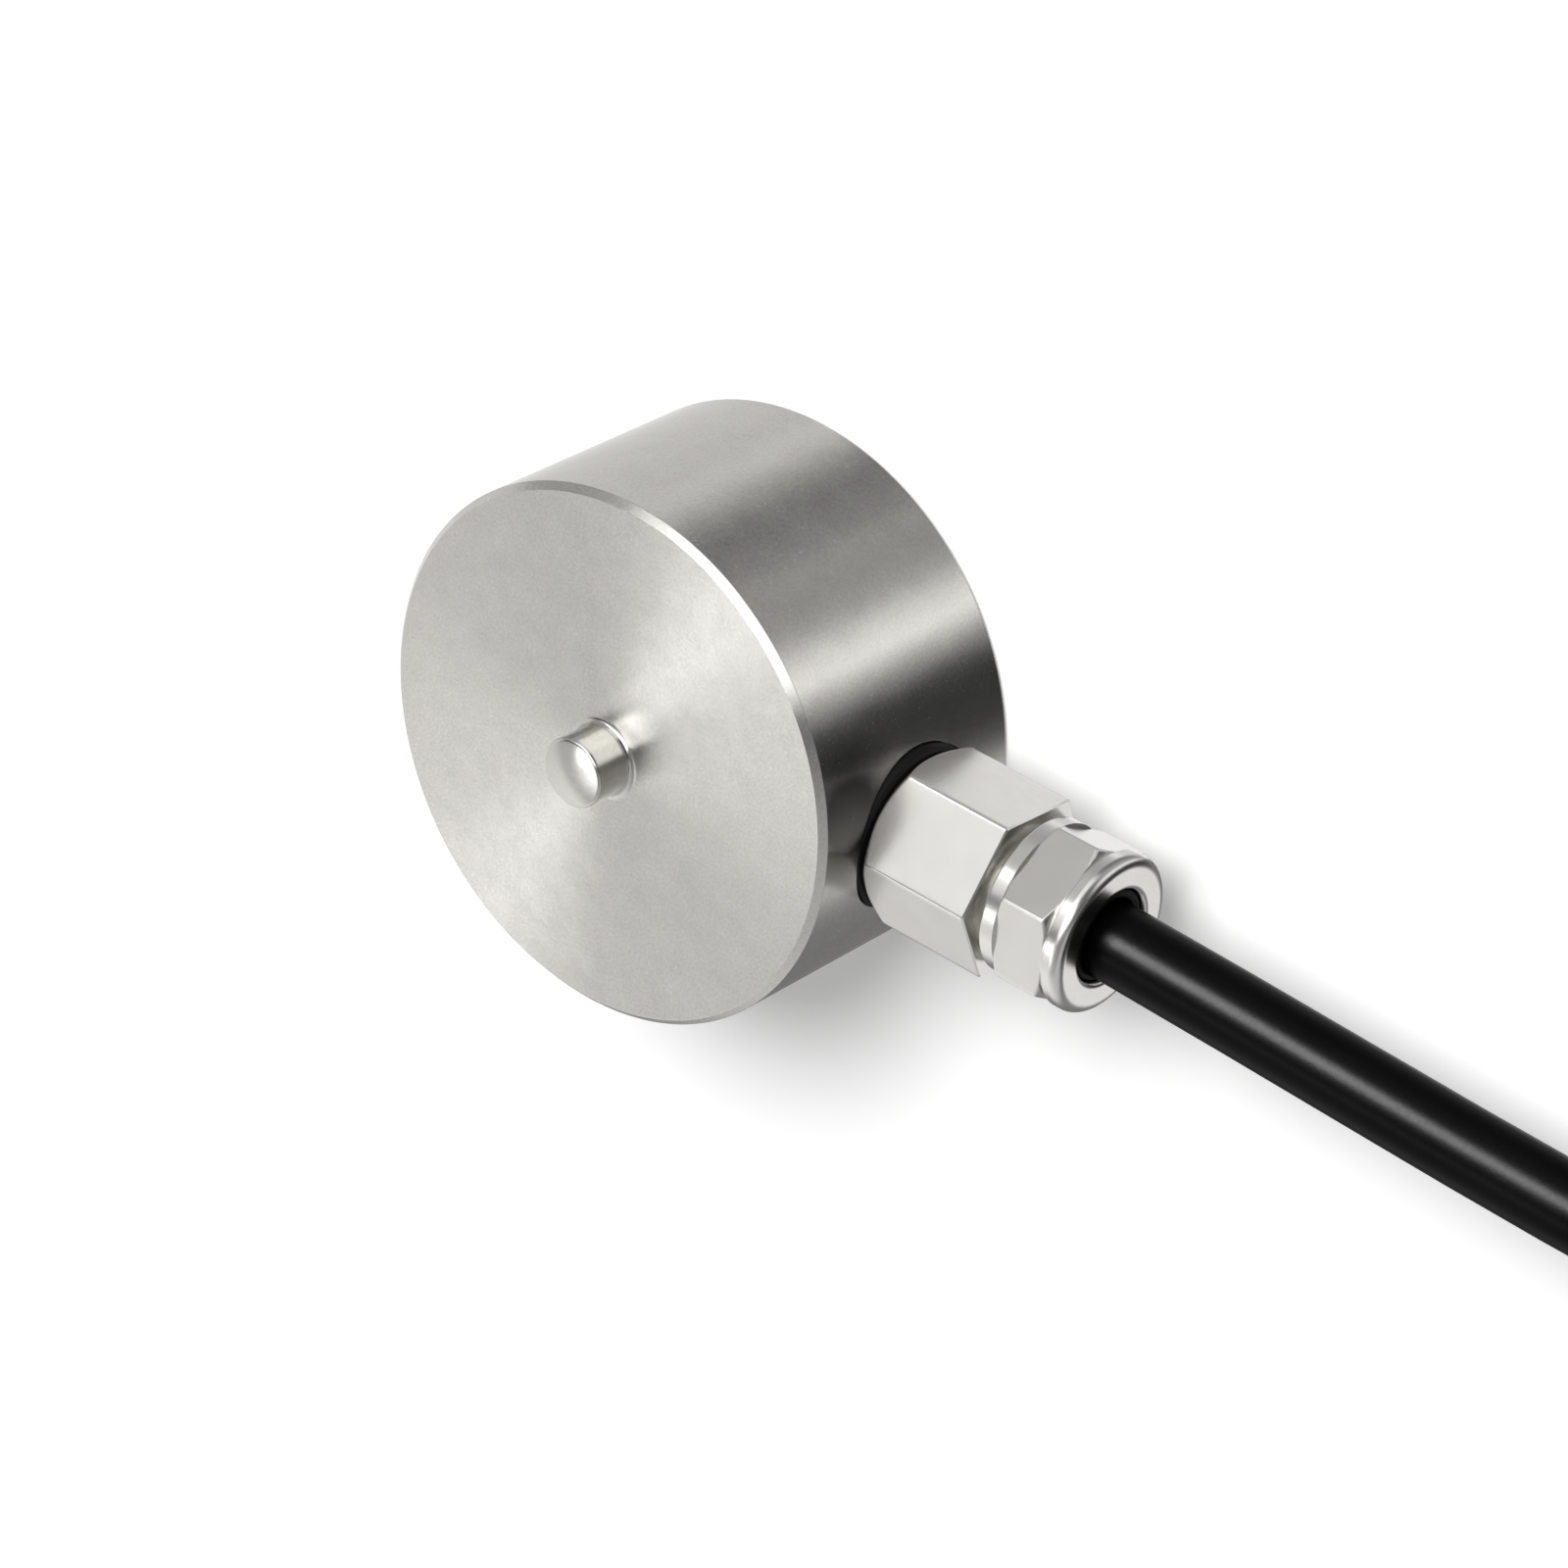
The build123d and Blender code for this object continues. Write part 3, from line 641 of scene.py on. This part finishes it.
# %% [markdown]
# ## Hexagons with turned ends
# The gland and its nut are made from hexagon bar. Across the axis the bar's radius at an angle is the
# flat's distance divided by the cosine of the angle from that flat. A turned cone at the end cuts the
# corners off and leaves the curved edges that every nut shows. Taking the smaller of the two radii
# gives exactly that, and a smooth minimum, the p-norm of the inverse radii, breaks the edges a little,
# as tumbling and plating do.
#
# The angles are crowded near the corners, where the surface turns quickly, and are wide apart on the
# flats. The first flat's own angle, from +Y towards +Z, says how far the hexagon was turned when it was
# tightened.

# %% Hexagon radius
def hexagon_angles(first_flat, samples=46):
    """Angles round the axis: within each flat they follow a sine, so they crowd towards both corners."""
    share = (np.arange(samples) + 0.5) / samples * 2 - 1
    within = np.radians(30) * np.sin(share * math.pi / 2)
    flats = np.radians(first_flat + 60 * np.arange(6))
    return (flats[:, None] + within[None, :]).ravel()


def hexagon_radius(angles, first_flat, flats_width, cone, power=110):
    """Distance from the axis to a hexagon cut by a cone: (sum of (1 / radius) ^ power) ^ (-1 / power)."""
    flats = np.radians(first_flat + 60 * np.arange(6))
    inverse = np.maximum(np.cos(angles[None, :] - flats[:, None]), 0) / (flats_width / 2)
    hexagon = (inverse**power).sum(0)
    return (hexagon[None, :] + (1 / cone[:, None]) ** power) ** (-1 / power)


def round_stations(profile, angles):
    """Stations (x, r) of a round stretch, repeated for every angle."""
    table = np.array(profile, float)
    return table[:, :1] + 0 * angles, table[:, 1:] + 0 * angles


def stations_mesh(name, stations, angles):
    """Joins stretches of stations (x, radius) into one closed surface about the gland's axis."""
    x = np.concatenate([stretch[0] for stretch in stations])
    radius = np.concatenate([stretch[1] for stretch in stations])
    points = np.stack((x, radius * np.cos(angles), gland_height + radius * np.sin(angles)), -1)
    return grid_mesh(name, points, along_closed=True)


gland_flat = 57.0
gland_angles = hexagon_angles(gland_flat)
print("a hexagon of", len(gland_angles), "angles")


# %% [markdown]
# ## The gland body
# It is one nickel-plated piece: a threaded spigot in the cell's wall, the large hexagon, and a thread
# for the nut. The thread shows only in the narrow gap before the nut. Its radius falls in a V once for
# each pitch and moves on with the angle, which makes it a helix.

# %% Gland body
hexagon_start = 9.95
hexagon_end = 14.8
gland_flats = 5.9
edge_break = 0.06
cone_slope = 1 / math.tan(math.radians(40))
x = np.concatenate((np.linspace(hexagon_start, 10.62, 34), [11.5, 13.0, 14.4, hexagon_end - edge_break]))
cone = 2.79 + (x - hexagon_start) * cone_slope
bar = hexagon_radius(gland_angles, gland_flat, gland_flats, cone)
bar_x = x[:, None] + 0 * gland_angles
end_radius = bar[-1:] - edge_break
thread_radius = 2.35
thread_depth = 0.2
thread_pitch = 0.35
thread_x = np.linspace(hexagon_end, 15.5, 36)
phase = (thread_x[:, None] - hexagon_end) / thread_pitch - gland_angles / (2 * math.pi)
thread = thread_radius - thread_depth * np.abs((phase % 1) * 2 - 1)
gland_stations = [
    round_stations([(7.65, 1.45), (7.65, 2.4), (7.75, 2.5), (hexagon_start, 2.5)], gland_angles),
    (bar_x, bar),
    (hexagon_end + 0 * end_radius, end_radius),
    (thread_x[:, None] + 0 * gland_angles, thread),
    round_stations([(15.6, thread_radius), (17.2, thread_radius), (17.3, 2.25), (17.3, 1.95), (17.25, 1.9),
                    (13.6, 1.9), (13.6, 1.45)], gland_angles)]
gland_mesh = stations_mesh("gland_body_turned", gland_stations, gland_angles)
gland_body = new_piece("gland_body_turned", gland_mesh)


# %% [markdown]
# ## The gland nut
# The nut has a turned collar, a shorter hexagon with a cone at each end, a narrow groove, and a rounded
# nose round the cable's mouth. Its hexagon stands at another angle than the gland's.

# %% Gland nut
nut_flat = 34.5
nut_angles = hexagon_angles(nut_flat)
nut_flats = 5.5
collar = rounded([(15.15, 2.35, 0), (15.15, 2.9, 0.1), (15.75, 2.9, 0)])
x = np.concatenate((np.linspace(15.75, 15.97, 18), [16.4, 17.0], np.linspace(17.56, 17.76, 16)))
cone_slope = 1 / math.tan(math.radians(30))
cone = np.minimum(2.9 + (x - 15.75) * cone_slope, 2.95 + (17.76 - x) * cone_slope)
bar = hexagon_radius(nut_angles, nut_flat, nut_flats, cone)
nose = rounded([(17.76, 2.79, 0), (17.9, 2.79, 0), (17.9, 2.95, 0.04), (18.62, 2.95, 0.4),
                (18.62, 1.75, 0.2), (17.5, 1.75, 0), (17.5, 2.35, 0)], arc_steps=10)
nut_stations = [round_stations(collar, nut_angles), (x[:, None] + 0 * nut_angles, bar),
                round_stations(nose, nut_angles)]
gland_nut = new_piece("gland_nut_turned", stations_mesh("gland_nut_turned", nut_stations, nut_angles))


# %% [markdown]
# ## Rubber parts
# A rubber ring fills the spot face under the hexagon and bulges a little where it is squeezed. A longer
# bush grips the cable inside the nut, and its rounded front edge shows in the mouth.

# %% Rubber ring and bush
washer_corners = [(9.25, 2.5, 0), (9.25, 2.98, 0), (9.38, 3.06, 0.1), (9.62, 3.1, 0.2), (9.85, 3.05, 0.1),
                  (9.95, 2.95, 0), (9.95, 2.5, 0)]
bush_corners = [(13.6, cable_radius, 0), (13.6, 1.88, 0.05), (17.3, 1.88, 0), (17.3, 1.73, 0),
                (18.52, 1.73, 0.14), (18.44, 1.42, 0.02), (18.4, cable_radius, 0)]
washer = new_piece("sealing_washer_rubber", turned_about_gland("sealing_washer_rubber", washer_corners))
bush = new_piece("seal_bush_rubber", turned_about_gland("seal_bush_rubber", bush_corners))


# %% [markdown]
# ## The stripped end
# At the far end the jacket is cut back, and a shrunk sleeve covers the cut. The sleeve follows the
# cable's own bend, so its path is read from the cable's curve, and it narrows over the leads where
# there is no jacket inside. Four insulated leads and the bare shield wire come out of it, each one a
# curve of its own.

# %% Shrunk sleeve
sleeve_reach = 3.8
sleeve_overhang = 1.6
from_end = np.linalg.norm(np.diff(cable_path[::-1], axis=0), axis=1).cumsum()
covered = cable_path[::-1][1:][from_end <= sleeve_reach][::-1]
beyond = tail_end + end_heading * np.array((0.0, 0.25, 0.5, 0.8, 1.1, 1.35, sleeve_overhang))[:, None]
sleeve_line = np.concatenate((covered, beyond))
step = np.gradient(sleeve_line, axis=0)
step = step / np.linalg.norm(step, axis=1)[:, None]
across = np.cross(step, (0, 0, 1))
across = across / np.linalg.norm(across, axis=1)[:, None]
above = np.cross(across, step)
past_end = np.clip((sleeve_line - tail_end) @ end_heading / sleeve_overhang, 0, 1)
narrowing = 0.28 * past_end**0.7
outer = cable_radius + sleeve_wall - narrowing
inner = cable_radius - narrowing
line = np.concatenate((sleeve_line, sleeve_line[::-1]))
side_way = np.concatenate((across, across[::-1]))
up_way = np.concatenate((above, above[::-1]))
radius = np.concatenate((outer, inner[::-1]))
angle = 2 * math.pi * np.arange(32) / 32
ring = side_way[:, None] * np.cos(angle)[:, None] + up_way[:, None] * np.sin(angle)[:, None]
sleeve_points = line[:, None] + ring * radius[:, None, None]
sleeve = new_piece("end_sleeve_shrunk", grid_mesh("end_sleeve_shrunk", sleeve_points, along_closed=True))


# %% [markdown]
# The leads start side by side in the jacket's end, drop to the turns below, and turn along the coil,
# each in a lane of its own. A lead is a curve, as the cable is, with four control points that follow
# from its plan: how far it starts sideways and upwards from the cable's middle, and its lane.

# %% Leads and shield
coil_top = 10 * cable_radius
half_spacing = 0.42
core_radius = 0.3
shield_radius = 0.15


def lead_line(sideways, upwards, lane, radius):
    """Control points of one lead: two on the sleeve's axis, one where it lands, one where it ends."""
    start = tail_end + end_across * sideways + np.array((0, 0, upwards))
    landing = tail_end + end_across * lane + end_heading * (sleeve_overhang + 2.6)
    landing[2] = coil_top + radius
    onward = turned(120 - lane * 2)
    return np.array((start, start + end_heading * sleeve_overhang, landing, landing + onward * 8)), onward


lead_plan = {"lead_red": (half_spacing, half_spacing, 1.6),
             "lead_black": (half_spacing, -half_spacing, 0.65),
             "lead_green": (-half_spacing, -half_spacing, -0.65),
             "lead_white": (-half_spacing, half_spacing, -1.6)}
leads = {}
lead_ends = []
for name, plan in lead_plan.items():
    line, onward = lead_line(*plan, core_radius)
    leads[name] = nurbs_line(name + "_wire", line, core_radius, 10, 12)
    lead_ends.append((line[-1], onward))
shield_line, _ = lead_line(0, 0, 0, shield_radius)
shield = nurbs_line("shield_wire_strands", shield_line, shield_radius, 10, 10)
print(len(leads), "leads and a shield wire")


# %% [markdown]
# Each lead ends in a tinned tip, a short bare core that is a little thinner than its insulation. A tip
# is one profile turned about its lead's last heading: a ring at a share of the length, as wide as a
# share of the radius. The four are joined into one mesh, because they are one finish and too small to
# handle one by one.

# %% Tinned tips
tip_radius = 0.2
tip_length = 2.0
tip_profile = np.array([(0, 0), (0, 1), (0.85, 1), (0.97, 0.8), (1, 0)]) * (tip_length, tip_radius)
angle = 2 * math.pi * np.arange(12) / 12
tip_meshes = []
for place, onward in lead_ends:
    across = np.cross(onward, (0, 0, 1))
    ring = across * np.cos(angle)[:, None] + np.array((0, 0, 1)) * np.sin(angle)[:, None]
    points = place + onward * tip_profile[:, :1, None] + ring[None] * tip_profile[:, 1:, None]
    tip_meshes.append(grid_mesh("tip", points))
joined = bmesh.new()
for mesh in tip_meshes:
    joined.from_mesh(mesh)
tips_mesh = bpy.data.meshes.new("lead_tips_tinned")
joined.to_mesh(tips_mesh)
joined.free()
lead_tips = new_piece("lead_tips_tinned", tips_mesh)


# %% [markdown]
# ## Finishes
# ### Turning lines
# A turning tool leaves a very fine spiral groove. Too fine to see one by one, the grooves still stretch
# every reflection across them, and that is what anisotropy in the steel's shader stands for. On top of
# that the eye sees some coarser lines and short streaks. Both depend on one number, the distance
# travelled along the profile, which is the radius on the face and the depth on the wall. A noise of
# that number alone gives full rings. A noise that also reads the place, squeezed hard along the travel,
# breaks them into streaks.
#
# The pattern is a node group, so that any turned material can use it with its own travel.

# %% Group: turning lines
def new_group(name, inputs, outputs):
    """An empty node group with number or vector inputs and number outputs."""
    group = bpy.data.node_groups.new(name, "ShaderNodeTree")
    for label, kind in inputs.items():
        group.interface.new_socket(label, in_out="INPUT", socket_type=kind)
    for label, kind in outputs.items():
        group.interface.new_socket(label, in_out="OUTPUT", socket_type=kind)
    return group, group.nodes.new("NodeGroupInput"), group.nodes.new("NodeGroupOutput")


line_inputs = {"Place": "NodeSocketVector", "Travel": "NodeSocketFloat"}
turning_lines, inlet, outlet = new_group("turning_lines", line_inputs, {"Height": "NodeSocketFloat"})
rings = add_node(turning_lines, "ShaderNodeTexNoise", {"W": inlet.outputs["Travel"], "Scale": 7.0,
                                                       "Detail": 3.0, "Roughness": 0.75},
                 noise_dimensions="1D").outputs[0]
flat_place = add_node(turning_lines, "ShaderNodeVectorMath", {0: inlet.outputs["Place"], 1: (0.9, 0.9, 0.9)},
                      operation="MULTIPLY").outputs[0]
steep = math_node(turning_lines, "MULTIPLY", inlet.outputs["Travel"], 16.0)
streak_place = add_node(turning_lines, "ShaderNodeCombineXYZ", {"Z": steep}).outputs[0]
streak_vector = add_node(turning_lines, "ShaderNodeVectorMath", {0: flat_place, 1: streak_place},
                         operation="ADD").outputs[0]
streaks = add_node(turning_lines, "ShaderNodeTexNoise", {"Vector": streak_vector, "Scale": 1.0,
                                                         "Detail": 2.0, "Roughness": 0.6}).outputs[0]
groove_height = math_node(turning_lines, "ADD", math_node(turning_lines, "MULTIPLY", rings, 0.6),
                          math_node(turning_lines, "MULTIPLY", streaks, 0.4))
turning_lines.links.new(groove_height, outlet.inputs["Height"])
print("turning lines group with", len(turning_lines.nodes), "nodes")


# %% [markdown]
# ### How every material starts
# A Principled shader goes on the output, and the object's own coordinates are scaled to millimetres, so
# that a pattern can be given in the size it has on the part. Four short helpers then say the rest: one
# makes a noise, and three feed a pattern to the colour, the roughness or the normal. Real surfaces vary
# in all three at once.

# %% Helpers: a new material and what feeds it
def new_material(name, **settings):
    """A material, its tree, its Principled shader with sockets set, and the place on the piece in mm."""
    made = bpy.data.materials.new(name)
    made.use_nodes = True
    tree = made.node_tree
    tree.nodes.clear()
    constants = {label.replace("_", " "): value for label, value in settings.items()}
    shader = add_node(tree, "ShaderNodeBsdfPrincipled", constants)
    add_node(tree, "ShaderNodeOutputMaterial", {"Surface": shader.outputs[0]})
    object_place = add_node(tree, "ShaderNodeTexCoord").outputs["Object"]
    place = add_node(tree, "ShaderNodeVectorMath", {0: object_place, "Scale": 1000.0}, operation="SCALE")
    return made, tree, shader, place.outputs[0]


def noise(tree, place, scale, detail, roughness=0.5):
    """A noise from 0 to 1; scale is how many of its spots fit in a millimetre."""
    return add_node(tree, "ShaderNodeTexNoise", {"Vector": place, "Scale": scale, "Detail": detail,
                                                 "Roughness": roughness}).outputs[0]


def mix_of_colours(tree, mask, first, second):
    """A mix of two colours by a pattern from 0 to 1."""
    mix = add_node(tree, "ShaderNodeMix", {"Factor": mask, 6: first, 7: second}, data_type="RGBA")
    return mix.outputs[2]


def mixed_colour(tree, shader, mask, first, second):
    """Feeds the base colour with a mix of two colours by a pattern from 0 to 1."""
    tree.links.new(mix_of_colours(tree, mask, first, second), shader.inputs["Base Color"])


def rough_range(tree, shader, mask, low, high):
    """Feeds the roughness with a value between low and high by a pattern from 0 to 1."""
    spread = add_node(tree, "ShaderNodeMapRange", {"Value": mask, "To Min": low, "To Max": high})
    tree.links.new(spread.outputs[0], shader.inputs["Roughness"])


def bump(tree, height, depth):
    """A bump node for a height pattern; depth is the height of the pattern in millimetres."""
    return add_node(tree, "ShaderNodeBump", {"Height": height, "Distance": depth * MILLIMETRE})


def bumped(tree, shader, height, depth):
    """Feeds a height pattern to the shader's normal, and gives the bump node."""
    made = bump(tree, height, depth)
    tree.links.new(made.outputs[0], shader.inputs["Normal"])
    return made


print("a noise of scale 9 has spots", round(1 / 9, 2), "mm wide")


# %% [markdown]
# ### Turned steel
# The turning lines alone would look like a drawing of steel. The real wall and face have more in them,
# at three sizes. A fine grain, a tenth of a millimetre across, makes the metal sparkle. Faint stains of
# a millimetre or two change its tone from place to place. And it isn't quite even: shallow waves of two
# millimetres bend the reflections of the room. A bump node takes one height, so the waves get a bump of
# their own, and the fine bump is laid over it by reading the waves' normal.
#
# The stretch of the reflections needs to know which way the grooves run. The UV map's U direction runs
# round the axis, along the grooves, and the shader turns it by a quarter so that the stretch lies
# across them.

# %% Turned stainless steel
def along_grooves(tree, shader):
    """Points the shader's tangent along U of the piece's UV map, which runs round the axis."""
    tangent = add_node(tree, "ShaderNodeTangent", direction_type="UV_MAP", uv_map="UVMap")
    tree.links.new(tangent.outputs[0], shader.inputs["Tangent"])


steel, tree, shader, place = new_material("turned_stainless", Metallic=1.0, Anisotropic=0.9,
                                          Anisotropic_Rotation=0.25)
place_parts = add_node(tree, "ShaderNodeSeparateXYZ", {"Vector": place}).outputs
level_parts = {"X": place_parts["X"], "Y": place_parts["Y"]}
level_place = add_node(tree, "ShaderNodeCombineXYZ", level_parts).outputs[0]
from_axis = add_node(tree, "ShaderNodeVectorMath", {0: level_place}, operation="LENGTH").outputs["Value"]
travel = math_node(tree, "SUBTRACT", from_axis, place_parts["Z"])
lines = add_node(tree, "ShaderNodeGroup", node_tree=turning_lines)
tree.links.new(level_place, lines.inputs["Place"])
tree.links.new(travel, lines.inputs["Travel"])
grain = noise(tree, place, 9.0, 3.0, 0.7)
stains = noise(tree, place, 0.8, 3.0, 0.6)
waves = noise(tree, place, 0.45, 1.0)
tone = math_node(tree, "MULTIPLY_ADD", stains, 0.32, math_node(tree, "MULTIPLY", grain, 0.68))
rough_range(tree, shader, tone, 0.20, 0.31)
grain_height = math_node(tree, "MULTIPLY", grain, 0.6)
relief = math_node(tree, "MULTIPLY_ADD", lines.outputs["Height"], 0.5, grain_height)
fine_bump = bumped(tree, shader, relief, 0.0012)
wave_bump = bump(tree, waves, 0.014)
tree.links.new(wave_bump.outputs[0], fine_bump.inputs["Normal"])
along_grooves(tree, shader)
print("turned steel with", len(tree.nodes), "nodes")


# %% [markdown]
# The steel's colour comes from the same grain and stains. Beside the gland the wall is painted much
# darker, as painted shade and a painted dark reflection of the gland's shadowed parts. It is a mask that
# falls with the distance from one place and stops below the rim, so that the bright chamfer stays bright.

# %% Colour of the steel
unshaded_steel = mix_of_colours(tree, tone, linear_colour(192, 191, 186), linear_colour(245, 244, 239))
# Painted shade and painted dark reflection beside the gland: a darker colour that fades with the distance
# from one place.
shade_middle = (9.7, 1.9, 8.5)
shade_distance = add_node(tree, "ShaderNodeVectorMath", {0: place, 1: shade_middle}, operation="DISTANCE")
painted_shade = add_node(tree, "ShaderNodeMapRange", {"Value": shade_distance.outputs["Value"], "From Min": 3.0,
                                             "From Max": 1.2, "To Max": 0.88}).outputs[0]
slope = 20.0
border_top = rim_start + 0.02
below_rim = math_node(tree, "MULTIPLY_ADD", place_parts["Z"], -slope, slope * border_top, clamp=True)
painted_shade_below_rim = math_node(tree, "MULTIPLY", painted_shade, below_rim)
# The dark colour here is the painted shade, laid over the steel's own colour.
mixed_colour(tree, shader, painted_shade_below_rim, unshaded_steel, linear_colour(34, 33, 31))
print("the film ends", rim_start, "mm above the rear face")


# %% [markdown]
# ### The polished button
# The load button is polished after turning, so that it doesn't dent what presses on it. It mirrors the
# room far more sharply than the face around it. It is the same piece of steel, so it gets a second
# material on its own faces.

# %% Polished steel
polished, tree, shader, place = new_material("polished_stainless", Metallic=1.0, Anisotropic=0.4,
                                             Anisotropic_Rotation=0.25)
lapping = noise(tree, place, 6.0, 3.0, 0.7)
mixed_colour(tree, shader, lapping, linear_colour(206, 205, 200), linear_colour(222, 221, 216))
rough_range(tree, shader, lapping, 0.09, 0.17)
bumped(tree, shader, lapping, 0.0008)
along_grooves(tree, shader)
print("polished steel with", len(tree.nodes), "nodes")


# %% [markdown]
# ### Nickel plate
# The gland is brass under satin nickel. Nickel is a little warmer than steel. The satin comes from
# blasting before plating, so its grain has no direction, and the turned collar and nose carry faint
# lines across the axis.

# %% Nickel plate
nickel, tree, shader, place = new_material("satin_nickel", Metallic=1.0)
grain = noise(tree, place, 14.0, 3.0, 0.65)
clouds = noise(tree, place, 0.9, 2.0)
along = add_node(tree, "ShaderNodeSeparateXYZ", {"Vector": place}).outputs["X"]
faint_rings = add_node(tree, "ShaderNodeTexNoise", {"W": along, "Scale": 10.0, "Detail": 2.0},
                       noise_dimensions="1D").outputs[0]
blasted_and_turned = math_node(tree, "MULTIPLY_ADD", faint_rings, 0.35, grain)
mixed_colour(tree, shader, clouds, linear_colour(226, 225, 221), linear_colour(236, 235, 231))
rough_range(tree, shader, grain, 0.20, 0.30)
bumped(tree, shader, blasted_and_turned, 0.0012)
print("nickel with", len(tree.nodes), "nodes")


# %% [markdown]
# ### Rubber and cable jacket
# Black rubber is matte, with a fine dusty grain. The jacket is smoother: an extruded plastic with a
# soft sheen, slightly uneven along its length, and without lines or print. Its specular level is low,
# because at the usual one the pale room would lie over the whole cable as a grey veil. What sheen it
# has is the cable light's streak.

# %% Rubber and jacket
rubber, tree, shader, place = new_material("black_rubber", Specular_IOR_Level=0.2)
grain = noise(tree, place, 9.0, 4.0)
mixed_colour(tree, shader, grain, linear_colour(8, 8, 8), linear_colour(15, 15, 15))
rough_range(tree, shader, grain, 0.45, 0.62)
bumped(tree, shader, grain, 0.004)

jacket, tree, shader, place = new_material("cable_jacket", Specular_IOR_Level=0.05)
grain = noise(tree, place, 7.0, 3.0, 0.6)
unevenness = noise(tree, place, 0.35, 2.0)
mixed_colour(tree, shader, unevenness, linear_colour(1, 1, 1), linear_colour(3, 3, 3))
rough_range(tree, shader, grain, 0.26, 0.36)
bumped(tree, shader, grain, 0.003)
print("the jacket's material has", len(tree.nodes), "nodes")


# %% [markdown]
# ### Small parts
# Inside the cell are a lacquered board, chip resistors, gauges on amber film, solder and coloured
# leads. They show only when someone opens the model, but each still gets its own colour, gloss and
# grain.

# %% Small parts
def plain_finish(name, first, second, low, high, scale, depth, metallic=0):
    """A finish of two near colours and a range of roughness, both from one noise of the given scale."""
    made, tree, shader, place = new_material(name, Metallic=metallic)
    grain = noise(tree, place, scale, 3.0)
    mixed_colour(tree, shader, grain, linear_colour(*first), linear_colour(*second))
    rough_range(tree, shader, grain, low, high)
    bumped(tree, shader, grain, depth)
    return made


board_lacquer = plain_finish("board_lacquer", (22, 84, 50), (34, 108, 66), 0.25, 0.4, 5.0, 0.004)
resistor_body = plain_finish("resistor_body", (36, 36, 40), (60, 60, 66), 0.35, 0.6, 9.0, 0.003)
amber_film = plain_finish("amber_film", (196, 128, 40), (216, 154, 62), 0.2, 0.35, 6.0, 0.001)
etched_foil = plain_finish("etched_foil", (190, 172, 140), (206, 190, 160), 0.25, 0.4, 12.0, 0.001, 1)
copper_wire = plain_finish("copper_wire", (196, 122, 80), (214, 146, 100), 0.2, 0.35, 12.0, 0.002, 1)
solder_metal = plain_finish("solder_metal", (196, 198, 202), (216, 218, 222), 0.18, 0.4, 6.0, 0.006, 1)
tinned_metal = plain_finish("tinned_metal", (196, 196, 194), (216, 216, 212), 0.22, 0.38, 10.0, 0.004, 1)
red_plastic = plain_finish("red_plastic", (176, 26, 22), (192, 36, 30), 0.32, 0.45, 6.0, 0.002)
black_plastic = plain_finish("black_plastic", (26, 26, 27), (38, 38, 40), 0.32, 0.45, 6.0, 0.002)
green_plastic = plain_finish("green_plastic", (24, 128, 66), (34, 142, 78), 0.32, 0.45, 6.0, 0.002)
white_plastic = plain_finish("white_plastic", (222, 222, 216), (234, 234, 228), 0.32, 0.45, 6.0, 0.002)
shrink_plastic = plain_finish("shrink_plastic", (26, 26, 28), (40, 40, 42), 0.4, 0.6, 4.0, 0.01)
print("each small finish has", len(shrink_plastic.node_tree.nodes), "nodes")


# %% [markdown]
# ## Dressing the part
# Every new piece gets its finish and rides on a body, and the solid nodes that it stands in for are
# hidden. Each row also names the record's material slot, which nothing here reads. The part is rigid,
# so all pieces ride on the root.

# %% Finishes on the pieces
finishes = [
    (sensor_body, steel, "stainless", ["sensor_body"]),
    (cover, steel, "stainless", ["rear_cover"]),
    (gland_body, nickel, "nickel_plate", ["gland_body"]),
    (gland_nut, nickel, "nickel_plate", ["gland_nut"]),
    (washer, rubber, "black_rubber", ["sealing_washer"]),
    (bush, rubber, "black_rubber", ["seal_bush"]),
    (cable, jacket, "cable_jacket", ["cable_tube", "cable_coil", "cable_tail"]),
    (sleeve, shrink_plastic, "shrink_sleeve", ["end_sleeve"]),
    (leads["lead_red"], red_plastic, "red_insulation", ["lead_red"]),
    (leads["lead_black"], black_plastic, "black_insulation", ["lead_black"]),
    (leads["lead_green"], green_plastic, "green_insulation", ["lead_green"]),
    (leads["lead_white"], white_plastic, "white_insulation", ["lead_white"]),
    (shield, tinned_metal, "tinned_wire", ["shield_wire"]),
    (lead_tips, tinned_metal, "tinned_wire", ["lead_tips"]),
]
for piece, finish, slot, replaced in finishes:
    piece.data.materials.clear()
    piece.data.materials.append(finish)
    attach(piece, "root")
    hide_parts(*replaced)
print(len(finishes), "new pieces")


# %% [markdown]
# The button is one piece with the face, so it is found by where its faces lie: above the face and near
# the axis. Those get the second material.

# %% Polished faces
sensor_body.data.materials.append(polished)
middles = np.zeros(len(sensor_body.data.polygons) * 3)
sensor_body.data.polygons.foreach_get("center", middles)
middles = middles.reshape(-1, 3) / MILLIMETRE
above_face = middles[:, 2] > face_height + 0.02
near_axis = np.hypot(middles[:, 0], middles[:, 1]) < button_radius + 0.25
on_button = above_face & near_axis
sensor_body.data.polygons.foreach_set("material_index", on_button.astype(int))
print("the button has", on_button.sum(), "polished faces")


# %% [markdown]
# The pieces inside the cell are plain in shape, and the solid model has them in full. They keep its
# mesh and only get a finish, in the slot that the mesh already has.

# %% Finishes on the solid nodes that stay
kept_nodes = {
    "terminal_board": board_lacquer, "zero_resistor": resistor_body, "span_resistor": resistor_body,
    "gauge_leads": copper_wire, "solder_joints": solder_metal, "slip_washer": nickel,
    "inner_core_red": red_plastic, "inner_core_black": black_plastic, "inner_core_green": green_plastic,
    "inner_core_white": white_plastic,
    **{f"gauge_backing_{number}": amber_film for number in range(1, 5)},
    **{f"gauge_foil_{number}": etched_foil for number in range(1, 5)},
}
for name, finish in kept_nodes.items():
    nodes[name].material_slots[0].material = finish
print(len(kept_nodes), "solid nodes with a new finish")
